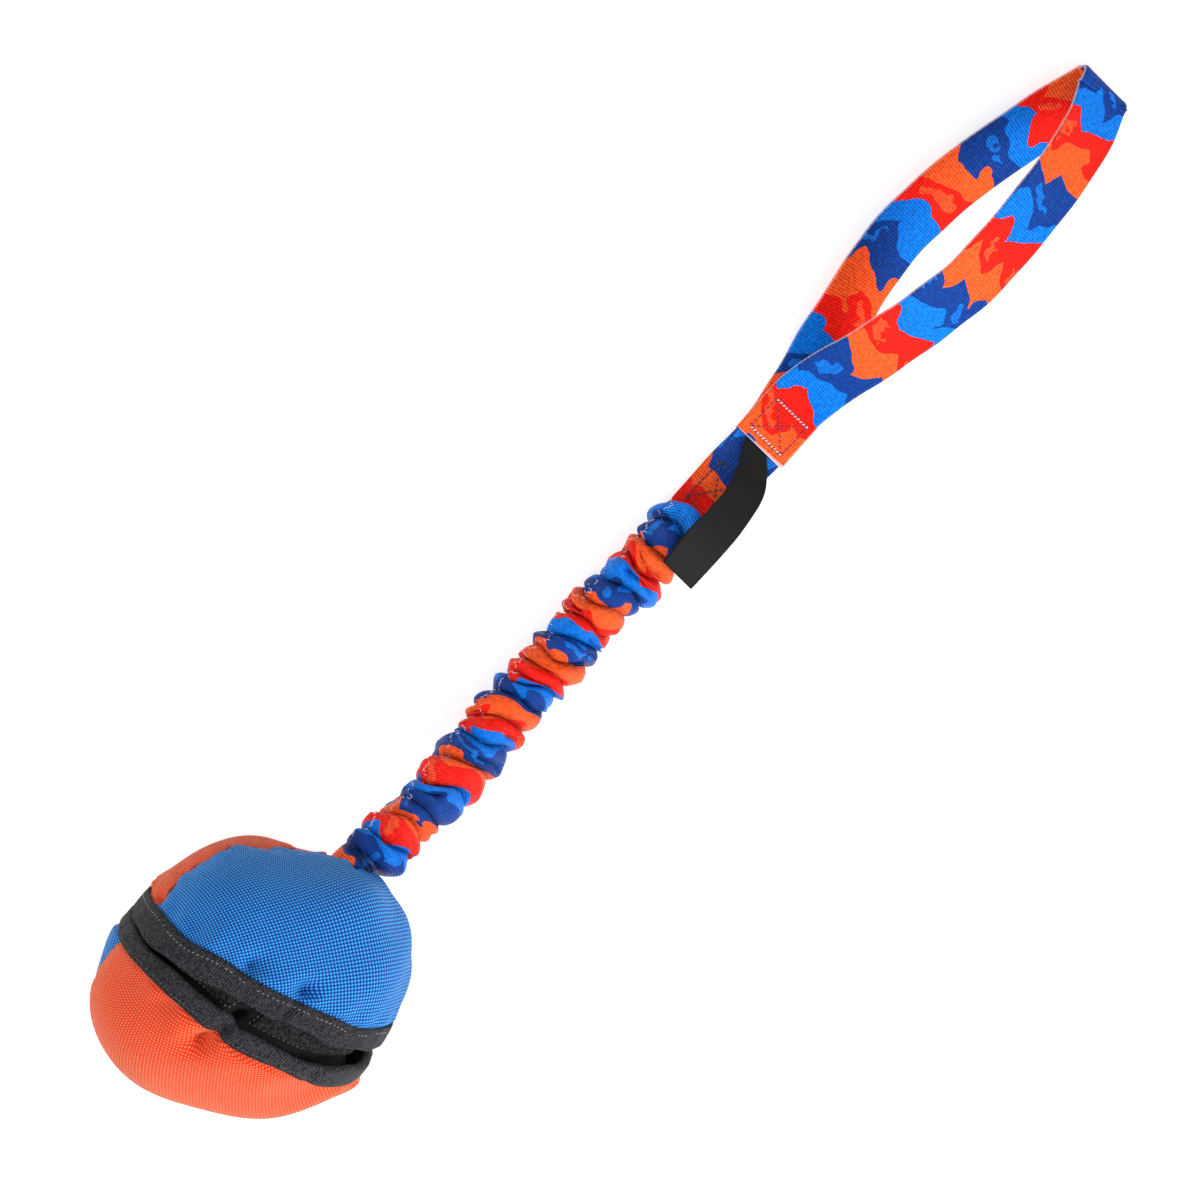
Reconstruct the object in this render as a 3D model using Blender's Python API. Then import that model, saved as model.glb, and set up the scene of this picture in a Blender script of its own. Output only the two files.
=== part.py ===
"""Bungee tug toy: a two-part fabric treat ball on a gathered bungee sleeve with a webbing handle.

Frame: metres, +Z up. The toy lies on a flat surface at z = 0. The origin is on the ball's flat resting
patch, straight under the ball's centre. +X runs along the bungee from the ball to the handle, and +Y is
to the left of that.
"""
import math

import bpy
import numpy as np

mm = 0.001
deg = math.pi / 180.0

# Ball: its outline seen from above is 12 radii, one every 30 degrees from -X round through -Y
plan_radius = 60.0 * mm
outline_shares = (1.010, 0.932, 0.925, 1.010, 1.012, 1.132, 1.020, 0.933, 0.910, 0.897, 0.955, 1.092)
ball_centre_height = 55.0 * mm
ball_top_reach = 57.0 * mm
ball_bottom_reach = 58.5 * mm
ball_fullness_share = 2.15

# Mouth: the parting plane of the two halves, and the ends where each half's gores meet
mouth_yaw = 14.4 * deg
mouth_pitch = 14.0 * deg
near_pole_share = (0.980, 0.030, -0.150)
far_pole_share = (-0.750, 0.250, -0.600)
hinge_longitude = 96.0 * deg

# The lips: longitude, then how far the near and the far lip lie from the parting plane
lip_stations = (
    (-168.0 * deg, 3.0 * mm, 3.2 * mm),
    (-144.0 * deg, 3.6 * mm, 4.4 * mm),
    (-120.0 * deg, 4.0 * mm, 5.4 * mm),
    (-96.0 * deg, 3.9 * mm, 6.1 * mm),
    (-72.0 * deg, 3.4 * mm, 6.7 * mm),
    (-60.0 * deg, 3.4 * mm, 7.2 * mm),
    (-48.0 * deg, 3.6 * mm, 7.8 * mm),
    (-36.0 * deg, 4.6 * mm, 7.4 * mm),
    (-24.0 * deg, 4.8 * mm, 7.2 * mm),
    (-12.0 * deg, 4.6 * mm, 6.4 * mm),
    (0.0 * deg, 4.8 * mm, 4.2 * mm),
    (12.0 * deg, 4.4 * mm, 1.9 * mm),
    (24.0 * deg, 3.9 * mm, 0.3 * mm),
    (36.0 * deg, 3.6 * mm, -0.7 * mm),
    (48.0 * deg, 3.8 * mm, -1.6 * mm),
    (60.0 * deg, 3.7 * mm, -2.2 * mm),
    (72.0 * deg, 3.4 * mm, -2.2 * mm),
    (96.0 * deg, 2.6 * mm, -1.5 * mm),
    (120.0 * deg, 1.8 * mm, 0.0 * mm),
    (144.0 * deg, 1.6 * mm, 1.2 * mm),
    (168.0 * deg, 2.2 * mm, 2.2 * mm),
)

# Layers of the ball's wall, outside to inside
clearance = 0.3 * mm
fabric_thickness = 0.9 * mm
foam_thickness = 4.0 * mm
lining_thickness = 0.6 * mm
binding_thickness = 0.8 * mm
binding_width = 9.5 * mm
wall_ramp = 2.2 * mm
binding_nose = 1.6 * mm
nose_points = 4
column_step = 12.0 * deg
row_count = 6
front_seams = {"near": (-120.0 * deg, 60.0 * deg), "far": (-120.0 * deg, 60.0 * deg)}
seam_groove_depth = 1.2 * mm
neck_hole_radius = 10.5 * mm
neck_foam_radius = 15.0 * mm
neck_pocket_depth = 8.0 * mm
neck_pocket_radius = 27.0 * mm
far_pole_opening = 1.6 * mm

# Dents where the stitching draws the fabric in: half, longitude, distance from the lip, width, depth
lip_dents = (
    ("near", 3.0 * deg, 15.0 * mm, 9.0 * mm, 3.0 * mm),
    ("near", -21.0 * deg, 19.0 * mm, 10.0 * mm, 3.2 * mm),
    ("far", -6.0 * deg, 16.0 * mm, 9.0 * mm, 4.5 * mm),
)
dent_falloff = 4.0

# Closure: hook strips inside the near lip, pile strips on a flap that the far half carries
strip_thickness = 1.2 * mm
pile_strip_width = 18.0 * mm
left_strip_span = (0.0 * deg, 48.0 * deg)
right_strip_span = (-72.0 * deg, -12.0 * deg)
strip_rows = 3
hook_first_row = 2
flap_root_row = 3
flap_thickness = 1.0 * mm
flap_reach = 22.0 * mm
flap_drop = 2.6 * mm
flap_bend = 10.0 * mm
flap_tip_margin = 2.0 * mm
flap_span = (-84.0 * deg, 60.0 * deg)
hinge_tape_thickness = 0.7 * mm
hinge_tape_clearance = 0.5 * mm
hinge_tape_half_span = 24.0 * deg

# Threads
thread_radius = 0.35 * mm
lip_thread_inset = 1.8 * mm
lip_thread_span = (-132.0 * deg, 132.0 * deg)
thread_sides = 4
strip_thread_margin = 1.2 * mm

# Bungee: gathered sleeve over one elastic cord; route points are x, y, z of the centre line
bungee_route = (
    (54.0 * mm, 1.6 * mm, 46.9 * mm),
    (61.0 * mm, 1.6 * mm, 45.8 * mm),
    (78.0 * mm, -1.2 * mm, 41.4 * mm),
    (98.0 * mm, -3.0 * mm, 33.6 * mm),
    (118.0 * mm, -2.8 * mm, 24.6 * mm),
    (140.0 * mm, -0.8 * mm, 16.6 * mm),
    (162.0 * mm, 0.4 * mm, 13.2 * mm),
    (190.0 * mm, 1.4 * mm, 12.5 * mm),
    (222.0 * mm, 2.6 * mm, 12.3 * mm),
    (238.0 * mm, 1.8 * mm, 11.8 * mm),
    (246.0 * mm, 1.2 * mm, 9.6 * mm),
    (252.0 * mm, 1.0 * mm, 6.2 * mm),
    (258.0 * mm, 1.2 * mm, 3.8 * mm),
    (266.0 * mm, 1.6 * mm, 3.7 * mm),
    (280.0 * mm, 2.2 * mm, 3.7 * mm),
    (294.0 * mm, 2.0 * mm, 3.7 * mm),
    (314.0 * mm, 2.4 * mm, 3.7 * mm),
)
route_steps = 12
sleeve_neck_radius = 8.2 * mm
sleeve_valley_radius = 9.2 * mm
sleeve_crest_radius = 12.9 * mm
crease_stations = (
    (64.0 * mm, 68.0 * mm), (72.0 * mm, 78.0 * mm), (82.0 * mm, 88.0 * mm), (93.0 * mm, 96.0 * mm),
    (103.0 * mm, 108.0 * mm), (113.0 * mm, 123.0 * mm), (128.0 * mm, 134.0 * mm), (137.0 * mm, 146.0 * mm),
    (150.0 * mm, 157.0 * mm), (158.0 * mm, 165.0 * mm), (168.0 * mm, 172.0 * mm), (174.0 * mm, 181.0 * mm),
    (183.0 * mm, 190.0 * mm), (193.0 * mm, 198.0 * mm), (204.0 * mm, 207.0 * mm), (214.0 * mm, 216.0 * mm),
    (225.0 * mm, 227.0 * mm), (235.0 * mm, 236.0 * mm), (244.0 * mm, 244.0 * mm), (252.0 * mm, 252.0 * mm),
)
pleat_rows = 4
pleat_fullness_share = 0.7
sleeve_bore_radius = 5.6 * mm
sleeve_flat_width = 23.0 * mm
sleeve_flat_thickness = 2.8 * mm
sleeve_sides = 14
bore_rows = 22
flat_start = 258.0 * mm
bore_end = 244.0 * mm
cord_radius = 5.0 * mm
cord_jacket_thickness = 0.9 * mm
cord_start = 57.0 * mm
cord_end = 242.5 * mm
cord_sides = 8
cord_rows = 24

# Neck: the sleeve's sewn end, which the bungee turns about
anchor_half_width = 5.5 * mm
anchor_half_height = 3.6 * mm
anchor_thickness = 1.2 * mm
anchor_bar = 1.6 * mm
anchor_setback = 1.4 * mm

# Handle: 25 mm webbing folded into a loop; x, y, z of the strap's centre line and its roll
strap_width = 25.0 * mm
strap_thickness = 2.0 * mm
strap_edge_radius = 0.6 * mm
strap_start = 294.0 * mm
strap_roll = 26.0 * deg
crown_roll = 22.0 * deg
crown_centre = (489.0 * mm, 3.5 * mm, 13.0 * mm)
crown_radius = 5.3 * mm
lower_leg_route = (
    (307.0 * mm, 2.6 * mm, 1.06 * mm, 0.0),
    (319.0 * mm, 5.2 * mm, 1.06 * mm, 0.0),
    (325.0 * mm, 6.6 * mm, 1.2 * mm, 0.08),
    (335.0 * mm, 9.2 * mm, 2.6 * mm, 0.34),
    (348.0 * mm, 12.6 * mm, 4.6 * mm, 0.72),
    (363.0 * mm, 16.4 * mm, 6.5 * mm, 1.0),
    (379.0 * mm, 19.4 * mm, 7.0 * mm, 1.0),
    (396.0 * mm, 21.2 * mm, 7.1 * mm, 1.0),
    (411.0 * mm, 20.9 * mm, 7.1 * mm, 1.0),
    (428.0 * mm, 19.3 * mm, 7.0 * mm, 1.0),
    (443.0 * mm, 16.8 * mm, 6.9 * mm, 1.0),
    (457.0 * mm, 14.2 * mm, 6.8 * mm, 1.0),
    (475.0 * mm, 10.0 * mm, 6.8 * mm, 0.94),
)
upper_leg_route = (
    (478.0 * mm, -4.0 * mm, 24.5 * mm, 0.92),
    (464.0 * mm, -7.1 * mm, 33.0 * mm, 1.0),
    (448.0 * mm, -9.8 * mm, 40.5 * mm, 1.0),
    (430.0 * mm, -11.4 * mm, 45.6 * mm, 1.0),
    (412.0 * mm, -12.6 * mm, 47.0 * mm, 1.0),
    (396.0 * mm, -12.2 * mm, 44.6 * mm, 1.0),
    (379.0 * mm, -9.8 * mm, 38.0 * mm, 0.94),
    (363.0 * mm, -6.7 * mm, 29.4 * mm, 0.8),
    (348.0 * mm, -3.4 * mm, 20.6 * mm, 0.58),
    (333.0 * mm, 0.6 * mm, 11.8 * mm, 0.28),
    (325.0 * mm, 2.0 * mm, 8.2 * mm, 0.1),
    (318.0 * mm, 2.6 * mm, 6.6 * mm, 0.0),
    (307.0 * mm, 2.2 * mm, 6.4 * mm, 0.0),
)
strap_end_y = 1.45 * mm
strap_steps = 2
crown_steps = 6
fold_axis_x = 290.0 * mm
stitch_bar = 0.8 * mm
stitch_height = 0.5 * mm
bar_step_share = 0.02
handle_box_length = 16.0 * mm
handle_box_width = 17.0 * mm
handle_box_setback = 3.5 * mm
sleeve_box_length = 20.0 * mm
sleeve_box_width = 14.0 * mm
sleeve_box_centre_x = 269.5 * mm
sleeve_box_centre_y = 1.8 * mm

# Label: a bare rubber tab, from its sewn root to its free end over the sleeve's right side
label_thickness = 1.0 * mm
label_steps = 3
label_columns = 4
label_stations = (
    (293.3 * mm, 5.6 * mm, -8.0 * mm, 5.6 * mm, 5.6 * mm),
    (284.0 * mm, 3.2 * mm, -11.8 * mm, 8.2 * mm, 7.4 * mm),
    (273.0 * mm, -0.7 * mm, -15.6 * mm, 15.0 * mm, 11.6 * mm),
    (262.0 * mm, -1.3 * mm, -17.2 * mm, 21.6 * mm, 15.6 * mm),
    (250.0 * mm, -1.2 * mm, -17.9 * mm, 25.6 * mm, 18.6 * mm),
    (234.3 * mm, -2.9 * mm, -18.3 * mm, 26.8 * mm, 19.8 * mm),
)


# Small vector helpers

def unit(vectors):
    """Each vector divided by its own length."""
    vectors = np.asarray(vectors, float)
    return vectors / np.linalg.norm(vectors, axis=-1, keepdims=True)


def smooth_step(value):
    """0 below 0, 1 above 1, and 3 v^2 - 2 v^3 between."""
    value = np.clip(value, 0.0, 1.0)
    return value * value * (3.0 - 2.0 * value)


def smooth_curve(points, steps):
    """Catmull-Rom curve through the points, with a number of steps between each two."""
    points = np.asarray(points, float)
    first = 2.0 * points[0] - points[1]
    last = 2.0 * points[-1] - points[-2]
    padded = np.vstack([first, points, last])
    out = []
    for i in range(len(points) - 1):
        a, b, c, d = padded[i:i + 4]
        for t in np.arange(steps) / steps:
            out.append(0.5 * (2.0 * b + (c - a) * t + (2.0 * a - 5.0 * b + 4.0 * c - d) * t * t
                              + (3.0 * b - a - 3.0 * c + d) * t ** 3))
    out.append(points[-1])
    return np.array(out)


# Ball surface

ball_centre = np.array([0.0, 0.0, ball_centre_height])
mouth_normal = np.array([
    math.cos(mouth_pitch) * math.cos(mouth_yaw),
    math.cos(mouth_pitch) * math.sin(mouth_yaw),
    math.sin(mouth_pitch),
])
mouth_up = unit(np.array([0.0, 0.0, 1.0]) - math.sin(mouth_pitch) * mouth_normal)
mouth_left = np.cross(mouth_normal, -mouth_up)
poles = {"near": unit(near_pole_share), "far": unit(far_pole_share)}


def plan_radius_at(azimuth):
    """Trigonometric curve through the twelve outline radii."""
    count = len(outline_shares)
    angles = -math.pi + np.arange(count) * 2.0 * math.pi / count
    result = np.full(np.shape(azimuth), np.mean(outline_shares))
    for k in range(1, count // 2):
        cosine = np.sum(outline_shares * np.cos(k * angles)) * 2.0 / count
        sine = np.sum(outline_shares * np.sin(k * angles)) * 2.0 / count
        result = result + cosine * np.cos(k * azimuth) + sine * np.sin(k * azimuth)
    return plan_radius * result


def hull_radius(direction):
    """Distance from the ball's centre to its stuffed outline, cut flat where it rests."""
    flat = np.hypot(direction[..., 0], direction[..., 1])
    rise = direction[..., 2]
    plan = plan_radius_at(np.arctan2(direction[..., 1], direction[..., 0]))
    reach = np.where(rise > 0.0, ball_top_reach, ball_bottom_reach)
    power = ball_fullness_share
    radius = ((flat / plan) ** power + (np.abs(rise) / reach) ** power) ** (-1.0 / power)
    floor_radius = ball_centre_height / np.maximum(-rise, 1e-9)
    return np.minimum(radius, floor_radius)


def lip_offset(half, longitude):
    """Distance of a half's lip from the parting plane, read from the stations round the mouth."""
    turns, near, far = np.array(lip_stations).T
    return np.interp(longitude, turns, near if half == "near" else far, period=2.0 * math.pi)


def ball_direction(half, from_lip, longitude):
    """Direction at a distance from the lip, round the mouth from its top towards its left."""
    longitude = np.asarray(longitude, float)
    lip_latitude = lip_offset(half, longitude) / plan_radius
    latitude = lip_latitude + from_lip / plan_radius * (1.0 - lip_latitude / (0.5 * math.pi))
    on_plane = np.cos(longitude)[..., None] * mouth_up + np.sin(longitude)[..., None] * mouth_left
    return unit(np.cos(latitude)[..., None] * on_plane + np.sin(latitude)[..., None] * poles[half])


def pole_distance(radius):
    """Distance from the lip at which a ring of this radius runs round the pole."""
    return plan_radius * (math.pi / 2.0) - radius


def ball_point(half, from_lip, longitude, depth):
    """Point at a depth under the stuffed outline, with the lip dents pressed in."""
    from_lip, longitude, depth = np.broadcast_arrays(from_lip, longitude, depth)
    direction = ball_direction(half, from_lip, longitude)
    dent = np.zeros(from_lip.shape)
    for side, centre_longitude, centre_distance, width, dent_depth in lip_dents:
        if side == half:
            around = plan_radius * (longitude - centre_longitude)
            away = (around ** 2 + (from_lip - centre_distance) ** 2) / width ** 2
            clear_of_binding = smooth_step((from_lip - binding_width) / wall_ramp)
            dent = dent + dent_depth * np.exp(-dent_falloff * away) * clear_of_binding
    radius = hull_radius(direction) - depth - dent
    return ball_centre + radius[..., None] * direction


def ramp(from_lip):
    """0 under the binding and 1 where the wall has its full thickness."""
    return smooth_step((np.asarray(from_lip) - binding_width - clearance) / wall_ramp)


# Depths of the wall's layers under the stuffed outline
fabric_under_binding = binding_thickness + clearance
lining_under_binding = fabric_under_binding + fabric_thickness + clearance
inner_binding_top = lining_under_binding + lining_thickness + clearance
inner_binding_bottom = inner_binding_top + binding_thickness
foam_top = fabric_thickness + clearance
lining_top = foam_top + foam_thickness + clearance
lining_bottom = lining_top + lining_thickness
wall_full_distance = binding_width + clearance + wall_ramp


def fabric_depth(from_lip):
    return fabric_under_binding * (1.0 - ramp(from_lip))


def neck_pocket(half, from_lip):
    """Extra depth of the lining near the neck, which leaves room for the sewn end."""
    if half == "far":
        return np.zeros(np.shape(from_lip))
    inside = np.asarray(from_lip) - pole_distance(neck_pocket_radius)
    return neck_pocket_depth * smooth_step(inside / (neck_pocket_radius - neck_foam_radius))


def lining_depth(half, from_lip):
    rise = lining_under_binding + (lining_top - lining_under_binding) * ramp(from_lip)
    return rise + neck_pocket(half, from_lip)


# Mesh building

def make_material(name, finish):
    material = bpy.data.materials.new(name)
    material.use_nodes = True
    shader = material.node_tree.nodes["Principled BSDF"]
    shader.inputs["Base Color"].default_value = (*finish[:3], 1.0)
    shader.inputs["Roughness"].default_value = finish[3]
    shader.inputs["Metallic"].default_value = 0.0
    return material


def make_object(name, points, faces, finish, pivot=None):
    """Object from world points, with its origin on the pivot if it has one."""
    mesh = bpy.data.meshes.new(name)
    points = np.asarray(points, float)
    if pivot is not None:
        points = points - np.asarray(pivot)
    mesh.from_pydata(points.tolist(), [], faces)
    mesh.validate()
    mesh.shade_smooth()
    mesh.materials.append(make_material(name, finish))
    obj = bpy.data.objects.new(name, mesh)
    bpy.context.scene.collection.objects.link(obj)
    if pivot is not None:
        obj.location = pivot
    return obj


def grid_faces(rows, columns, closed, start=0, other_diagonal=()):
    """Triangle pairs between neighbouring rows, cut along one diagonal, so that layers nest.

    other_diagonal lists the columns that are cut the other way.
    """
    faces = []
    last = columns if closed else columns - 1
    for i in range(rows - 1):
        for j in range(last):
            k = (j + 1) % columns
            a = start + i * columns + j
            b = start + i * columns + k
            if j in other_diagonal:
                faces.append((a, b, a + columns))
                faces.append((b, b + columns, a + columns))
            else:
                faces.append((a, b, b + columns))
                faces.append((a, b + columns, a + columns))
    return faces


def sheet_solid(outer, inner):
    """Closed solid between two open grids of equal size."""
    rows, columns = outer.shape[:2]
    size = rows * columns
    points = np.concatenate([outer.reshape(-1, 3), inner.reshape(-1, 3)])
    faces = grid_faces(rows, columns, False)
    faces += [tuple(reversed(face)) for face in grid_faces(rows, columns, False, size)]
    rim = [j for j in range(columns)]
    rim += [i * columns + columns - 1 for i in range(1, rows)]
    rim += [(rows - 1) * columns + j for j in range(columns - 2, -1, -1)]
    rim += [i * columns for i in range(rows - 2, 0, -1)]
    for a, b in zip(rim, rim[1:] + rim[:1]):
        faces.append((b, a, a + size, b + size))
    return points, faces


def ring_solid(sections, closed_path, other_diagonal=()):
    """Closed solid swept by a closed section: rows are stations, columns go round the section."""
    rows, columns = sections.shape[:2]
    points = sections.reshape(-1, 3)
    if not closed_path:
        faces = grid_faces(rows, columns, True, 0, other_diagonal)
        faces.append(tuple(range(columns - 1, -1, -1)))
        faces.append(tuple((rows - 1) * columns + j for j in range(columns)))
        return points, faces
    faces = grid_faces(rows + 1, columns, True, 0, other_diagonal)
    return points, [tuple(k % len(points) for k in face) for face in faces]


def turn_outwards(obj):
    """Flip the faces of a closed mesh whose signed volume is negative."""
    mesh = obj.data
    mesh.calc_loop_triangles()
    corners = np.array([v.co[:] for v in mesh.vertices])
    triangles = np.array([t.vertices[:] for t in mesh.loop_triangles])
    a, b, c = corners[triangles[:, 0]], corners[triangles[:, 1]], corners[triangles[:, 2]]
    if np.sum(np.cross(a, b) * c) < 0.0:
        mesh.flip_normals()
    return obj


def build(name, shape, finish, pivot=None):
    points, faces = shape
    return turn_outwards(make_object(name, points, faces, finish, pivot))


def tube(points, radius, sides):
    """Round sections along a path."""
    points = np.asarray(points, float)
    tangent = unit(np.gradient(points, axis=0))
    side = unit(np.cross(np.array([0.0, 0.0, 1.0]), tangent))
    upward = np.cross(tangent, side)
    angles = np.arange(sides) * 2.0 * math.pi / sides
    across, rise = np.cos(angles)[None, :, None], np.sin(angles)[None, :, None]
    return points[:, None, :] + radius * (across * side[:, None, :] + rise * upward[:, None, :])


# Finishes: red, green, blue and roughness
blue = (0.035, 0.17, 0.60, 0.75)
orange = (0.90, 0.13, 0.05, 0.75)
charcoal = (0.025, 0.025, 0.030, 0.75)
black = (0.010, 0.010, 0.012, 0.85)
foam_grey = (0.55, 0.55, 0.52, 0.90)
thread_grey = (0.30, 0.30, 0.30, 0.60)
print_red = (0.80, 0.06, 0.03, 0.65)
rubber_tan = (0.60, 0.50, 0.36, 0.60)
thread_dark = (0.05, 0.02, 0.05, 0.65)
label_grey = (0.055, 0.055, 0.055, 0.50)


# Ball layers: every layer of a half shares the same rows and columns, so that they nest

def columns_over(span):
    count = int(round((span[1] - span[0]) / column_step))
    return span[0] + (span[1] - span[0]) * np.arange(count + 1) / count


def full_columns(half):
    first = front_seams[half][0]
    count = int(round(2.0 * math.pi / column_step))
    return first + 2.0 * math.pi * np.arange(count) / count


def rows_from(start, pole_rings):
    """Distances from the lip: the binding's edge, even steps, then rings of given radii round the pole."""
    even = np.linspace(wall_full_distance, pole_distance(neck_foam_radius), row_count)
    rings = np.array([pole_distance(radius) for radius in pole_rings])
    if start is None:
        return np.concatenate([[wall_full_distance + clearance], even[1:], rings])
    return np.concatenate([[start, binding_width + clearance], even, rings])


def groove(half, from_lip, longitude):
    """The seams between the gores draw the wall in along one column."""
    depth = 0.0
    for seam in front_seams[half]:
        away = np.abs((longitude - seam + math.pi) % (2.0 * math.pi) - math.pi)
        depth = depth + seam_groove_depth * np.clip(1.0 - away / column_step, 0.0, 1.0)
    return depth * ramp(from_lip)


def layer(half, rows, longitudes, depth):
    """Grid of wall points: rows run away from the lip, columns run round the mouth."""
    from_lip, longitude = np.broadcast_arrays(rows[:, None], longitudes)
    return ball_point(half, from_lip, longitude, depth + groove(half, from_lip, longitude))


def gore(name, half, span, finish):
    """One fabric panel between two seams, from the binding to the pole."""
    rows = rows_from(binding_nose, [neck_hole_radius] if half == "near" else [far_pole_opening])
    share = (columns_over(span) - span[0]) / (span[1] - span[0])
    half_gap = 0.5 * clearance / (plan_radius * np.cos(rows / plan_radius))
    longitudes = (span[0] + half_gap)[:, None] + (span[1] - span[0] - 2.0 * half_gap)[:, None] * share
    depth = fabric_depth(rows)[:, None]
    outer = layer(half, rows, longitudes, depth)
    inner = layer(half, rows, longitudes, depth + fabric_thickness)
    return build(name, sheet_solid(outer, inner), finish)


def padding(name, half):
    """Foam layer between fabric and lining, open at the mouth and at the pole."""
    rows = rows_from(None, [] if half == "near" else [far_pole_opening])
    columns = full_columns(half)[None, :]
    outer = layer(half, rows, columns, foam_top)
    inner = layer(half, rows, columns, foam_top + foam_thickness)
    sections = np.concatenate([outer, inner[::-1]]).transpose(1, 0, 2)
    inward = range(len(rows), 2 * len(rows) - 1)
    return build(name, ring_solid(sections, True, inward), foam_grey)


def lining(name, half):
    """Black cup that closes over the pole."""
    pole_rings = [neck_hole_radius, far_pole_opening] if half == "near" else [far_pole_opening]
    rows = rows_from(binding_nose, pole_rings)
    columns = full_columns(half)[None, :]
    depth = lining_depth(half, rows)[:, None]
    outer = layer(half, rows, columns, depth)
    inner = layer(half, rows, columns, depth + lining_thickness)
    count = outer.shape[1]
    size = outer.shape[0] * count
    tips = np.stack([outer[-1].mean(axis=0), inner[-1].mean(axis=0)])
    points = np.concatenate([outer.reshape(-1, 3), inner.reshape(-1, 3), tips])
    faces = grid_faces(outer.shape[0], count, True)
    faces += [tuple(reversed(face)) for face in grid_faces(outer.shape[0], count, True, size)]
    for j in range(count):
        k = (j + 1) % count
        faces.append((k, j, j + size, k + size))
        faces.append((size - count + j, size - count + k, 2 * size))
        faces.append((2 * size - count + k, 2 * size - count + j, 2 * size + 1))
    return build(name, (points, faces), black)


def binding(name, half):
    """Folded tape round the lip: an outer leg, a rounded nose and an inner leg."""
    middle = 0.5 * inner_binding_bottom
    turn = np.linspace(0.0, math.pi, nose_points)
    slim_nose = binding_nose - binding_thickness
    slim_middle = middle - binding_thickness
    from_lip = np.concatenate([
        [binding_width], binding_nose * (1.0 - np.sin(turn)), [binding_width, binding_width],
        binding_nose - slim_nose * np.sin(turn[::-1]), [binding_width]])
    depth = np.concatenate([
        [0.0], middle * (1.0 - np.cos(turn)), [inner_binding_bottom, inner_binding_top],
        middle - slim_middle * np.cos(turn[::-1]), [binding_thickness]])
    columns = full_columns(half)
    sections = ball_point(half, from_lip[None, :], columns[:, None], depth[None, :])
    inward = [j for j in range(len(from_lip)) if from_lip[(j + 1) % len(from_lip)] < from_lip[j]]
    return build(name, ring_solid(sections, True, inward), charcoal)


def thread_tube(name, points, closed):
    """Thin tube through wall points, square to the path."""
    points = np.asarray(points)
    if closed:
        tangent = unit(np.roll(points, -1, axis=0) - np.roll(points, 1, axis=0))
    else:
        tangent = unit(np.gradient(points, axis=0))
    outward = unit(points - ball_centre)
    side = unit(np.cross(outward, tangent))
    angles = np.arange(thread_sides) * 2.0 * math.pi / thread_sides
    across, rise = np.cos(angles)[None, :, None], np.sin(angles)[None, :, None]
    ring = across * side[:, None, :] + rise * outward[:, None, :]
    return build(name, ring_solid(points[:, None, :] + thread_radius * ring, closed), thread_grey)


def lip_thread(name, half):
    """Topstitch line along the binding's outer leg."""
    columns = columns_over(lip_thread_span)
    rise = -(clearance + thread_radius)
    points = ball_point(half, binding_width - lip_thread_inset, columns, rise)
    return thread_tube(name, points, False)


def wall_strip(name, half, span, rows, top):
    """Hook or pile strip that follows the wall, on the wall's own columns."""
    columns = columns_over(span)[None, :]
    lift = 0.0 if rows[0] < 0.0 else groove(half, rows[:, None], columns)
    outer = ball_point(half, rows[:, None], columns, top + lift)
    inner = ball_point(half, rows[:, None], columns, top + strip_thickness + lift)
    return build(name, sheet_solid(outer, inner), black)


def strip_thread(name, half, span, rows, level):
    """Stitching round a strip, on the surface that carries the strip."""
    low = rows[0] - strip_thread_margin
    high = rows[-1] + strip_thread_margin
    columns = columns_over(span)
    around = strip_thread_margin / plan_radius
    columns[0] -= around
    columns[-1] += around
    side_rows = np.linspace(low, high, strip_rows)
    from_lip = np.concatenate([np.full(len(columns), low), side_rows[1:-1],
                               np.full(len(columns), high), side_rows[1:-1][::-1]])
    longitude = np.concatenate([columns, np.full(strip_rows - 2, columns[-1]),
                                columns[::-1], np.full(strip_rows - 2, columns[0])])
    points = ball_point(half, from_lip, longitude, level)
    return thread_tube(name, points, True)


# Depths of the closure parts
hook_top = lining_bottom + clearance
pile_top = hook_top + strip_thickness + flap_drop
flap_top = pile_top + strip_thickness + clearance
pile_thread_level = flap_top - clearance - thread_radius
hook_rows = rows_from(binding_nose, [])[hook_first_row:flap_root_row + 1]
pile_edge = flap_reach - flap_tip_margin
pile_rows = np.linspace(-pile_edge, pile_strip_width - pile_edge, strip_rows)


def closure_flap():
    """Tongue from inside the far wall, across the mouth and under the near lip."""
    root = rows_from(binding_nose, [])[flap_root_row]
    rows = np.array([-flap_reach, -0.5 * flap_reach, wall_full_distance - flap_bend,
                     wall_full_distance + clearance, root])
    drop = smooth_step((wall_full_distance - rows) / flap_bend)
    columns = columns_over(flap_span)[None, :]
    depth = (hook_top + (flap_top - hook_top) * drop)[:, None]
    depth = depth + np.where(rows[:, None] > 0.0, groove("far", rows[:, None], columns), 0.0)
    outer = ball_point("far", rows[:, None], columns, depth)
    inner = ball_point("far", rows[:, None], columns, depth + flap_thickness)
    return build("closure_flap", sheet_solid(outer, inner), black)


def hinge_tape():
    """Tape across the inside of the hinge, from one binding to the other."""
    span = (hinge_longitude - hinge_tape_half_span, hinge_longitude + hinge_tape_half_span)
    longitudes = columns_over(span)
    level = inner_binding_bottom + hinge_tape_clearance
    reach = binding_width - clearance
    sheets = []
    for depth in (level, level + hinge_tape_thickness):
        far_rows = [ball_point("far", row, longitudes, depth) for row in (reach, 0.5 * reach, 0.0)]
        near_rows = [ball_point("near", row, longitudes, depth) for row in (0.5 * reach, reach)]
        sheets.append(np.array(far_rows + near_rows))
    return build("hinge_tape", sheet_solid(sheets[0], sheets[1]), charcoal)


# Bungee

def route_at(stations):
    """Centre line points at given x places, read from the smooth route."""
    curve = smooth_curve(bungee_route, route_steps)
    places = np.asarray(stations)
    across = np.interp(places, curve[:, 0], curve[:, 1])
    level = np.interp(places, curve[:, 0], curve[:, 2])
    return np.stack([places, across, level], 1)


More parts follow.
